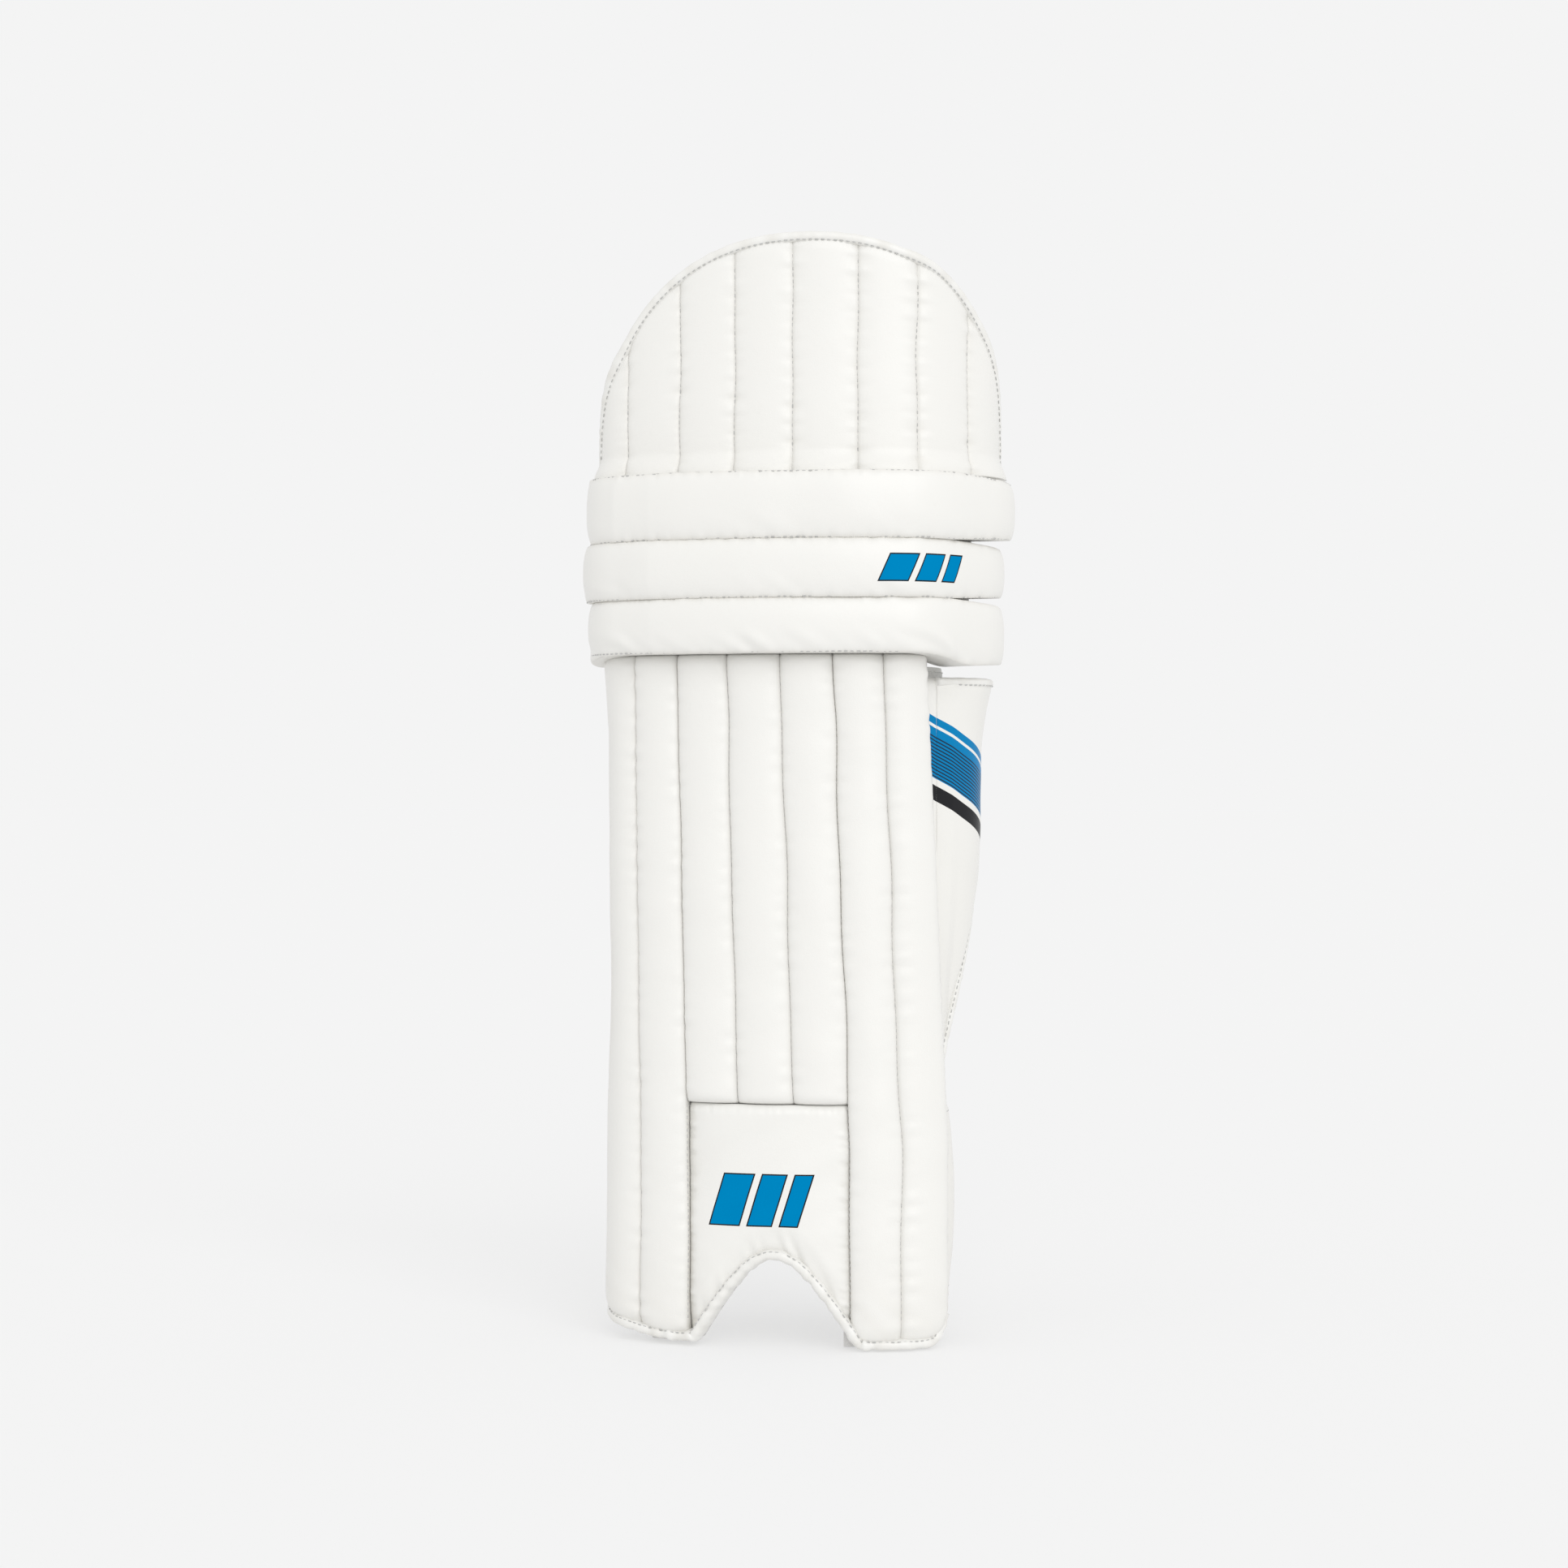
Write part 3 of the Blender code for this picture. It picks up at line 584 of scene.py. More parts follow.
def shin_height(u, z):
    """Quilt height; the inner side is drawn in a little at its waist."""
    waist = np.interp(z, *WAIST) * smooth(-86, -104, u)
    return channel_height(u, z, SHIN_SEAMS, SHIN_CRESTS, SHIN_VALLEY, 21) * (1 - waist)


INNER_TOE = ((-111, -106, -100, -93, -86, -72, -55), (23.0, 17.5, 13.0, 9.5, 7.5, 4.5, 2.5))


def toe_line(u):
    """Underside of the two legs; the inner one is worn up a little further round its corner."""
    outer = 20 * np.clip((u - 100) / 21, 0, 1) ** 2.2 + 0.5
    return np.where(u < 0, np.interp(u, *INNER_TOE), outer)


ARCH_CENTRE, ARCH_SLOPE, ARCH_CROWN = 11.5, 1.75, 23.0


def arch_line(u):
    run = np.hypot(u - ARCH_CENTRE, ARCH_CROWN) - ARCH_CROWN
    return ARCH_TOP - ARCH_SLOPE * run


def quilt_piece(name, u_columns, z_low, z_high, rows, height, lean, edges, spread=1.0, back_t=1.2,
                valley=SHIN_VALLEY):
    """Grid of a quilted panel. edges(u, z) scales the stuffing towards the panel's own edges."""
    part = np.linspace(0, 1, rows)[:, None]
    part = part * 0.5 + (1 - np.cos(part * np.pi)) / 2 * 0.5
    u = np.broadcast_to(u_columns[None, :], (rows, len(u_columns)))
    low, high = z_low(u_columns)[None, :], z_high(u_columns)[None, :]
    z = low + (high - low) * part
    shift = lean(u, z)
    t = back_t + (height(u, z) - back_t) * edges(u, z)
    front, back = wrap(u + shift, z, t, spread), wrap(u + shift, z, np.full_like(t, back_t), spread)
    uv = np.stack([u + shift, z], axis=-1)
    full = height(u, z)
    # painted shade: warmer and darker along the seam valleys
    wear = np.exp(-((full - valley) / 1.3) ** 2) * 0.55
    # darker towards the bottom, below about 90 mm
    wear = wear + 0.35 * smooth(90, 10, z) * (0.6 + 0.4 * ripple(z + u, 77, 23)) * (z < 120)
    return solid_sheet(name, front, back, uv, wear)


def make_shin():
    def foot(u):
        return leg_bottom(u + seam_lean(u, 20)) + 4.0

    def leg_edges(u, z):
        side = close_edge(np.minimum(u + SHIN_EDGE, COVER_EDGE - u) + 1.5, 7)
        top = 0.80 + 0.20 * close_edge(SHIN_TOP - z, 8)
        return (0.60 + 0.40 * close_edge(z - foot(u), 12)) * (0.30 + 0.70 * side) * top

    def centre_edges(u, z):
        top = 0.80 + 0.20 * close_edge(SHIN_TOP - z, 8)
        puffed = 0.66 + 0.34 * close_edge(z - INSTEP_TOP, 7)
        return puffed * top

    above_instep = lambda u: np.full_like(u, INSTEP_TOP + 0.2)
    top = lambda u: np.full_like(u, SHIN_TOP - 0.1)
    seams = SHIN_SEAMS
    inner = quilt_columns(seams[:3])
    inner = np.concatenate([[-SHIN_EDGE - 1.5, -SHIN_EDGE - 1.2, -SHIN_EDGE - 0.7], inner])
    outer = quilt_columns(seams[5:])
    outer = np.concatenate([outer, [COVER_EDGE + 0.7, COVER_EDGE + 1.2, COVER_EDGE + 1.5]])
    centre = quilt_columns(seams[2:6])
    pieces = (("shin_cover_inner_channels", inner, foot, leg_edges, 170),
              ("shin_cover_centre_channels", centre, above_instep, centre_edges, 112),
              ("shin_cover_outer_channels", outer, foot, leg_edges, 170))
    for name, columns, low, edges, rows in pieces:
        piece = quilt_piece(name, columns, low, top, rows, shin_height, seam_lean, edges)
        finish_piece(piece, "leather", "shin")
    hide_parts("shin_cover", "shin_backing_foam", *[f"shin_filling_{i}" for i in range(1, 8)])
    runs = []
    for seam in seams[1:-1]:
        low = 14.0 if abs(seam) > 60 else (INSTEP_TOP + 2 if abs(seam) < 30 else 16.0)
        z = np.arange(low, SHIN_TOP - 4, 4.0)
        u = seam + seam_lean(np.full_like(z, seam), z)
        runs.append(wrap_run(u, z, np.full_like(z, SHIN_VALLEY), lift=0.35))
    stitches("shin_seam_stitches", runs, "shin")


# ------------------------------------------------------------------ shin: instep, edges, lining
def instep_height(u, z):
    crown = 11.0 + 7.0 * (1 - np.clip(np.abs(u) / 51, 0, 1) ** 4) ** 0.8
    soft = 0.5 * ripple(u + 0.4 * z, 41, 60) + 0.35 * ripple(z - 0.5 * u, 43, 38)
    near_arch = np.exp(-((z - arch_line(u + 9) - 10) / 8.0) ** 2)
    near_side = np.exp(-((np.minimum(u + INSTEP_SIDE, INSTEP_RIGHT - u) - 3) / 3.2) ** 2)
    near_top = np.exp(-((INSTEP_TOP - z - 3) / 3.5) ** 2)
    puckers = 0.8 * near_arch * ripple(u * 1.1 + z * 0.3, 47, 9)
    puckers = puckers + 0.55 * near_side * ripple(z + u * 0.05, 53, 8)
    return crown + soft + puckers + 0.35 * near_top * ripple(u, 59, 7)


def leg_bottom(u):
    """Lower edge of the pad: the two flat feet with the arch between them."""
    arch = np.where(np.abs(u - ARCH_CENTRE) < 60, arch_line(u), -50)
    return np.maximum(toe_line(u), arch)


def instep_lean(u, z):
    """The instep panel's sides follow the seams beside it."""
    part = (u + INSTEP_SIDE) / (INSTEP_RIGHT + INSTEP_SIDE)
    return seam_lean(0 * u - INSTEP_SIDE, z) * (1 - part) + seam_lean(0 * u + INSTEP_RIGHT, z) * part


def make_instep():
    columns = cosine_spread(-INSTEP_SIDE + 0.1, INSTEP_RIGHT - 0.1, 90)
    low = lambda u: np.maximum(leg_bottom(u + instep_lean(u, 30)) + 4.5, 5.0)
    top = lambda u: np.full_like(u, INSTEP_TOP - 0.4)

    def edges(u, z):
        side = 0.74 + 0.26 * close_edge(np.minimum(u + INSTEP_SIDE, INSTEP_RIGHT - u), 7)
        bottom = 0.55 + 0.25 * close_edge(z - low(u), 8) + 0.20 * smooth(0, 26, z - low(u))
        return side * bottom * (0.62 + 0.38 * close_edge(INSTEP_TOP - z, 7))

    piece = quilt_piece("instep_panel", columns, low, top, 90, instep_height, instep_lean, edges)
    finish_piece(piece, "leather_instep", "shin", ("instep_cover", "instep_foam"))
    z = np.arange(22, 156, 4.0)
    runs = [wrap_run(u + instep_lean(u, z), z, 0, lift=6.8) for u in (-52.2, -49.6, 46.1, 48.7)]
    u = np.arange(-47, 44, 4.0)
    runs.append(wrap_run(u, INSTEP_TOP - 2.6, 0, lift=9.5))
    stitches("instep_stitches", runs, "shin")


EDGE_SPACING, EDGE_ROUNDING, EDGE_POWER = 1.6, 5, 2.6


def edge_curve(points):
    """Even, slightly rounded polyline through (u, z) points."""
    points = np.array(points, float)
    run = run_length(points)
    at = np.linspace(0, run[-1], int(run[-1] / EDGE_SPACING) + 2)
    even = np.stack([np.interp(at, run, points[:, k]) for k in (0, 1)], axis=1)
    for _ in range(EDGE_ROUNDING):
        even[1:-1] = (even[:-2] + 2 * even[1:-1] + even[2:]) / 4
    return even, at


def edge_frame(points, inward):
    """The edge's curve, its run, and the direction to its inner side."""
    curve, run = edge_curve(points)
    along = directions(curve)
    return curve, run, np.stack([-along[:, 1], along[:, 0]], axis=1) * inward


def bound_edge(name, points, width, t_low, t_high, spread=1.0, seed=3, wrinkle=0.45, inward=1, floor=None,
               sides=22):
    """Folded strip over an edge, laid in the (u, z) plane with its inner side at inward times the left."""
    curve, run, left = edge_frame(points, inward)
    angle = np.linspace(0, 2 * np.pi, sides, endpoint=False)[None, :]
    cos, sin = np.cos(angle), np.sin(angle)
    round_c = np.sign(cos) * np.abs(cos) ** (2 / EDGE_POWER)
    round_s = np.sign(sin) * np.abs(sin) ** (2 / EDGE_POWER)
    fold = 1 + wrinkle * 0.12 * ripple(run[:, None] + 2 * cos, seed, 11)
    t_low = np.broadcast_to(np.asarray(t_low, float), run.shape)[:, None]
    t_high = np.broadcast_to(np.asarray(t_high, float), run.shape)[:, None]
    across = width / 2 * (1 + round_c * fold)
    depth = (t_low + t_high) / 2 + round_s * (t_high - t_low) / 2 * (1 + 0.3 * (fold - 1))
    depth = depth + wrinkle * 0.5 * ripple(run[:, None] * (1 + 0 * cos), seed + 1, 7) * (sin > 0.2)
    u = curve[:, :1] + left[:, :1] * across
    z = curve[:, 1:] + left[:, 1:] * across
    if floor is not None:
        z = np.maximum(z, floor)
    points = wrap(u, z, depth, spread)
    uv = np.stack([u, z], axis=-1)
    wear = 0.25 + 0.25 * ripple(run[:, None] + 0 * u, seed + 7, 15)
    return add_mesh(name, points, tube_faces(*u.shape), uv, wear)


def edge_stitches(points, width, t_low, t_high, spread=1.0, inward=1, trim=5):
    """Stitch line near the inner side of a bound edge, lying on its outer face."""
    curve, run, left = edge_frame(points, inward)
    part = 0.62
    rise = (1 - part ** EDGE_POWER) ** (1 / EDGE_POWER)
    t = (t_low + t_high) / 2 + rise * (t_high - t_low) / 2 + 0.35
    at = (curve + left * width / 2 * (1 + part))[trim:-trim:2]
    t = np.broadcast_to(np.asarray(t, float), run.shape)[trim:-trim:2]
    return wrap_run(at[:, 0], at[:, 1], t, spread)


def make_leg_binding():
    u = np.arange(-SHIN_EDGE - 1.0, COVER_EDGE + 19.0, 1.0)
    points = np.stack([u, leg_bottom(u)], axis=1)
    curve, _run = edge_curve(points)
    front = 18.5 - toe_line(curve[:, 0]) / 3.5
    binding = (7.5, 0.4, front)
    piece = bound_edge("leg_edge_binding", points, *binding, floor=0.25, wrinkle=0.8)
    finish_piece(piece, "binding", "shin",
                 ("arch_binding", "inner_toe_binding", "outer_toe_binding"))
    stitches("leg_edge_stitches", [edge_stitches(points, *binding)], "shin")


BACK_PUFF = 2.6


def quilted_back(name, seams, z_low, z_high, spread, body, replaces, rows=80):
    """Lining with shallow channels that bulge backwards."""
    columns = quilt_columns(seams, 9)
    part = np.linspace(0, 1, rows)[:, None]
    u = np.broadcast_to(columns[None, :], (rows, len(columns)))
    z = z_low(u) + (z_high(u) - z_low(u)) * part
    bulge = channel_height(u, z, seams, [BACK_PUFF] * (len(seams) - 1), 0.15, 91, 0.12)
    front = wrap(u, z, np.full_like(u, 1.0), spread)
    edge = close_edge(np.minimum(z - z_low(u), z_high(u) - z), 6)
    back = wrap(u, z, 0.4 - bulge * edge, spread)
    piece = solid_sheet(name, front, back, np.stack([u, z], axis=-1))
    return finish_piece(piece, "lining", body, replaces)


def make_lining():
    low = lambda u: leg_bottom(u) + 1.5
    high = lambda u: np.full_like(u, SHIN_TOP - 0.8)
    seams = (-SHIN_EDGE, -74, -37, 0, 37, 74, SHIN_EDGE)
    quilted_back("shin_back_lining", seams, low, high, 1.0, "shin", ("shin_lining",), rows=150)
    runs = []
    for seam in seams[1:-1]:
        z = np.arange(leg_bottom(np.array(float(seam))) + 6, SHIN_TOP - 5, 4.0)
        path, normals = wrap_run(seam, z, 0, lift=-0.1)
        runs.append((path, -normals))
    stitches("shin_back_stitches", runs, "shin", "thread_light")


def cushion(name, u_low, u_high, z_low, z_high, depth, body, replaces, seed, spread=1.0, dish=0.0,
            flat_foot=False):
    """Stuffed cushion behind the lining."""
    rows, columns = max(24, int((z_high - z_low) / 3)), 30
    u = cosine_spread(u_low, u_high, columns)[None, :] + np.zeros((rows, 1))
    z = cosine_spread(z_low, z_high, rows)[:, None] + np.zeros((1, columns))
    across = (2 * u - u_low - u_high) / (u_high - u_low)
    along = (2 * z - z_low - z_high) / (z_high - z_low)
    if flat_foot:
        along = np.where(along < 0, 0, along)
    crown = ((1 - across ** 4) * (1 - along ** 6)) ** 0.5
    crown = crown * (1 - dish * (1 - across ** 2) * (1 - along ** 2))
    soft = 0.6 * ripple(z + 0.3 * u, seed, 60) + 0.35 * ripple(u - z * 0.4, seed + 3, 24)
    folds = 0.5 * ripple(z * 1.2 + u * 0.1, seed + 6, 9) * np.exp(-((1 - np.abs(across)) / 0.22) ** 2)
    t = -1.1 - (depth - 1.6) * crown + (soft + folds) * crown ** 2 - 0.6
    t = np.maximum(t, -0.8 - depth)
    front = wrap(u, z, np.full_like(u, -0.95), spread)
    piece = solid_sheet(name, wrap(u, z, t, spread), front, np.stack([u, z], axis=-1))
    return finish_piece(piece, "lining", body, replaces)


BOLSTERS = (("inner_bolster", -61, 15), ("outer_bolster", 65, 11))
BOLSTER_TOP, BOLSTER_DEPTH = 428.0, 22.0


def make_bolsters():
    for number, (name, middle, half_width) in enumerate(BOLSTERS):
        cushion(name + "_padding", middle - half_width, middle + half_width, 0.4, BOLSTER_TOP,
                BOLSTER_DEPTH, "shin", (name,), 61 + number, flat_foot=True)


def pillow_panel(name, u, z, t_front, t_back, body, material, replaces, spread=1.0):
    front, back = wrap(u, z, t_front, spread), wrap(u, z, t_back, spread)
    piece = solid_sheet(name, front, back, np.stack([u, z], axis=-1), 0.15 + 0 * u)
    return finish_piece(piece, material, body, replaces)


INNER_WING_BOTTOM, INNER_WING_TOP, INNER_WING_CORNER = 196, 432, 36
SIDE_BINDING = (5.5, 0.2, SIDE_PANEL - 1.5)     # width, lower and upper face


def inner_wing_ends(u):
    """Lower and upper edge of the inner wing, cut back towards its rear corners."""
    rise = np.clip(1 - np.abs(SIDE_EDGE - u) / INNER_WING_CORNER, 0, None)
    return INNER_WING_BOTTOM + 30 * rise, INNER_WING_TOP - 16 * rise ** 2


def make_inner_wing():
    end = -SHIN_EDGE - 1.3
    columns = np.linspace(SIDE_EDGE + 1.5, end, 22)
    u = np.broadcast_to(columns[None, :], (90, 22))
    low, high = inner_wing_ends(u)
    low, high = low + 1.5, high - 1.5
    z = low + (high - low) * np.linspace(0, 1, 90)[:, None]
    edge = np.minimum(np.minimum(z - low, high - z), u - SIDE_EDGE)
    face = 4.5 + (SIDE_PANEL - 4.6) * close_edge(edge, 9) + 0.3 * ripple(z + u, 71, 40)
    pillow_panel("inner_wing_panel", u, z, np.minimum(face, SIDE_PANEL), np.full_like(u, 0.6), "shin",
                 "leather", ("inner_wing",))
    side = np.linspace(0, 1, 30)
    bottom_u = end + (SIDE_EDGE - end) * side
    low, high = inner_wing_ends(bottom_u)
    points = list(zip(bottom_u, low)) + list(zip(bottom_u[::-1], high[::-1]))
    piece = bound_edge("inner_wing_edge", points, *SIDE_BINDING, inward=-1, seed=13)
    finish_piece(piece, "binding", "shin")
    stitches("inner_wing_stitches", [edge_stitches(points, *SIDE_BINDING, inward=-1)], "shin")


def make_ankle_flap(name, start, end, narrow):
    rows, columns = 60, 26
    u = np.linspace(start, end, columns)[None, :] + np.zeros((rows, 1))
    z = np.linspace(FLAP_BOTTOM + 0.6, FLAP_TOP - 0.6, rows)[:, None] + np.zeros((1, columns))
    spread = 1 + (narrow - 1) * (u - start) / (end - start)
    edge = np.minimum(np.minimum(z - FLAP_BOTTOM, FLAP_TOP - z), np.abs(end - u) + 0.3)
    thick = 1.2 + 2.2 * close_edge(edge, 3.0) + 0.12 * ripple(z, 73, 30)
    bend = (-2.6 - 4.5 * ((z - 91) / 62) ** 2) * (smooth(0, 18, np.abs(u - start)) if start > 0 else 0.3)
    face = np.minimum(thick, FLAP_THICKNESS) + bend
    piece = solid_sheet(name + "_panel", wrap(u, z, face, spread), wrap(u, z, 0.1 + 0 * u + bend, spread),
                        np.stack([u, z], axis=-1), 0.2 + 0 * u)
    finish_piece(piece, "leather", "shin", (name,))
    runs = [wrap_run(u[line], z[line], face[line] + 0.1, spread[line])
            for line in (2, rows - 3, (slice(2, -2), columns - 3))]
    stitches(name + "_stitches", runs, "shin")


# ------------------------------------------------------------------ knee rolls
ROLLS = (("lower_roll", SHIN_TOP, ROLL_SEAM_LOWER, 22, 36, 25.5, 1.0),
         ("middle_roll", ROLL_SEAM_LOWER, ROLL_SEAM_UPPER, 28.5, 37, 25.5, 1.0),
         ("upper_roll", ROLL_SEAM_UPPER, HAT_BASE, 17.5, 37, 28.5, 1.04))
ROLL_ENDS = (-128.0, 168.0)
KNEE_CUSHION_EDGE = 58


def roll_depth(u, left, front, right):
    return np.interp(u, (-128, -118, -85, -60, 90, 120, 158, 168),
                     (left - 9, left, front - 3, front, front, (front + right) / 2, right, right - 8))


def hinge_margin(u, spread):
    behind = np.maximum(plan(u, 0, spread)[1], plan(u, 25, spread)[1]) - HINGE_DEPTH
    return np.maximum(0.0, behind) * math.tan(KNEE_BEND) * 0.42 - 0.05


def make_roll(name, low, high, left, front, right, spread, seed):
    columns = 230
    sweep = np.linspace(ROLL_ENDS[0], ROLL_ENDS[1], columns)
    q = np.sin(np.linspace(-np.pi / 2, np.pi / 2, 46))[:, None]
    u = np.broadcast_to(sweep[None, :], (46, columns))
    margin = hinge_margin(u, spread)
    end = np.minimum(u - ROLL_ENDS[0], ROLL_ENDS[1] - u)
    ends = 0.42 + 0.58 * close_edge(end, 9)
    sag = (8.5 * smooth(88, 128, u) + 7.0 * smooth(-82, -116, u)) if name == "lower_roll" else 0.0
    z_low, z_high = low + margin - sag, high - margin
    middle, half = (z_low + z_high) / 2, (z_high - z_low) / 2 * (0.86 + 0.14 * close_edge(end, 7))
    crest = roll_depth(u, left, front, right) * ends
    crest = crest * (1 + 0.018 * ripple(u, seed, 85)) - 0.3
    crease = 0.87 * crest
    t = crease + (crest - crease) * (1 - np.abs(q) ** 2.4) ** 0.60
    shoulder = np.exp(-((1 - np.abs(q)) / 0.16) ** 2)
    tucks = ripple(u + 23 * (q > 0), seed + 1, 10) + 0.5 * ripple(u * 1.7, seed + 2, 6)
    t = t + 0.40 * tucks * shoulder * (np.abs(q) < 0.995)
    diagonal = ripple(u * 0.9 + q * 13, seed + 4, 21) * np.exp(-((q + 0.62) / 0.34) ** 2)
    creased = ((-95, 22), (10, 16), (95, 24))
    where = 0.25 + sum(np.exp(-((u - middle_u) / reach) ** 2) for middle_u, reach in creased)
    t = t + (1.15 if name == "lower_roll" else 0.30) * diagonal * np.minimum(where, 1)
    z = middle + q * half
    front_points = wrap(u, z, t, spread)
    back_points = wrap(u, z, np.full_like(u, 0.3), spread)
    # painted shade: warmer and darker along the roll's upper and lower creases
    wear = 0.55 * np.exp(-((1 - np.abs(q)) / 0.10) ** 2) + 0 * u
    crest_run = u + front * np.interp(u / spread, PATH[0], PATH[1])
    piece = solid_sheet(name + "_stuffed", front_points, back_points, np.stack([crest_run, z], axis=-1), wear)
    material = "leather_mark" if name == "middle_roll" else "leather_roll"
    hidden = (name + "_cover", name + "_core", name + "_backing")
    finish_piece(piece, material, name, hidden)


def make_rolls():
    for number, (name, low, high, left, front, right, spread) in enumerate(ROLLS):
        make_roll(name, low, high, left, front, right, spread, 101 + 7 * number)
        u = np.arange(-122.0, 163.0, 2.5)
        depth = roll_depth(u, left, front, right) * 0.885
        runs = [wrap_run(u, low + hinge_margin(u, spread) + 0.7, depth, spread)]
        if name == "upper_roll":
            runs.append(wrap_run(u, high - hinge_margin(u, spread) - 0.7, depth, spread))
        stitches(name + "_stitches", runs, name)
    cushions = (("lower_knee_pad", SHIN_TOP + 4, ROLL_SEAM_LOWER - 3, 14, "lower_roll", 1.0, 0.0),
                ("knee_cup", ROLL_SEAM_LOWER + 2, ROLL_SEAM_UPPER - 2, 12, "middle_roll", 1.0, 0.6),
                ("upper_knee_pad", ROLL_SEAM_UPPER + 3, HAT_BASE - 4, 14, "upper_roll", 1.04, 0.0))
    for number, (name, low, high, depth, body, spread, dish) in enumerate(cushions):
        cushion(name + "_padding", -KNEE_CUSHION_EDGE, KNEE_CUSHION_EDGE, low, high, depth, body, (name,),
                63 + number, spread, dish)


# ------------------------------------------------------------------ top hat
def hat_rim(u, inset=0.0):
    across = np.clip(np.abs((u - HAT_CENTRE) / (HAT_HALF_WIDTH - inset)), 0, 1)
    return HAT_BASE + (HAT_TOP - HAT_BASE - inset) * (1 - across ** HAT_ROUNDNESS) ** (1 / HAT_ROUNDNESS)


HAT_EDGE_SEAMS = (-114,) + HAT_SEAMS + (176,)
HAT_CRESTS = (2.4, 3.0, 3.3, 3.3, 3.3, 3.3, 3.0, 2.6)
HAT_VALLEY = 9.6
HAT_BINDING = (7.2, 0.2, 13.0, HAT_SPREAD)      # width, lower and upper face, spread


def make_hat():
    columns = quilt_columns((-107.5,) + HAT_SEAMS + (169.5,), 15)
    low = lambda u: np.full_like(u, HAT_BASE + 0.1)
    top = lambda u: np.maximum(hat_rim(u, 3.2), HAT_BASE + 6)

    def height(u, z):
        return channel_height(u, z, HAT_EDGE_SEAMS, HAT_CRESTS, HAT_VALLEY, 131, 0.30)

    def edges(u, z):
        rim = (0.62 + 0.38 * close_edge(hat_rim(u, 3.2) - z, 10))
        return rim * (1 + 0.45 * smooth(HAT_BASE + 16, HAT_BASE, z))

    waver = lambda u, z: 0.5 * ripple(z + 3 * u, 137, 80) * np.clip((z - HAT_BASE) / 20, 0, 1)
    piece = quilt_piece("top_hat_quilt", columns, low, top, 100, height, waver, edges, HAT_SPREAD, 1.0,
                        HAT_VALLEY)
    finish_piece(piece, "leather", "top_hat", ("top_hat_cover", "top_hat_foam"))
    back_top = lambda u: np.maximum(hat_rim(u, 1.5), HAT_BASE + 4)
    quilted_back("top_hat_back", (-107, -60, -15, 31, 78, 124, 169), low, back_top, HAT_SPREAD, "top_hat",
                 ("top_hat_lining",))
    turn = np.linspace(0, np.pi, 160)
    cos, sin = np.cos(turn), np.sin(turn)
    power = 2 / HAT_ROUNDNESS
    rim_u = HAT_CENTRE - np.sign(cos) * np.abs(cos) ** power * HAT_HALF_WIDTH
    rim_z = HAT_BASE + 0.8 + (HAT_TOP - HAT_BASE - 1.0) * np.abs(sin) ** power
    points = np.stack([rim_u, rim_z], axis=1)
    piece = bound_edge("top_hat_rim_binding", points, *HAT_BINDING, inward=-1, seed=17, wrinkle=0.25)
    finish_piece(piece, "binding", "top_hat", ("top_hat_binding",))
    runs = [edge_stitches(points, *HAT_BINDING, inward=-1)]
    for seam in HAT_SEAMS:
        z = np.arange(HAT_BASE + 8, float(hat_rim(np.array(seam), 14)), 4.0)
        shift = waver(np.full_like(z, seam), z)
        runs.append(wrap_run(seam + shift, z, 0, HAT_SPREAD, HAT_VALLEY + 0.3))
    stitches("top_hat_stitches", runs, "top_hat")


# ------------------------------------------------------------------ outer wing
WING_CORNER, WING_HEEL, WING_LEAN, WING_FLARE_START = 30, 28, 0.33, 372


def wing_edge(z):
    """The wing's free edge leans outwards as it rises, with its two corners rounded off."""
    corner = np.clip((z - WING_TOP + WING_CORNER) / WING_CORNER, 0, None)
    heel = np.clip((WING_BOTTOM + WING_HEEL - z) / WING_HEEL, 0, None)
    return 125 + (z - 196) * WING_LEAN - 12 * corner ** 3 - 4.5 * heel ** 2


def wing_flare(u, z):
    rise = np.clip((z - WING_FLARE_START) / (WING_TOP - WING_FLARE_START), 0, None)
    curl = 9.0 * smooth(345, 200, z) * np.clip((u - WING_START) / 18, 0, 1)
    return 9 * rise ** 2 * np.minimum(1, (u - WING_START) / 30) - curl


def wing_face(u, z):
    thin = np.minimum(1, 0.72 + (u - WING_START) / 40)
    return 10.0 * thin * (1 - 0.30 * smooth(280, 190, z)) + wing_flare(u, z)


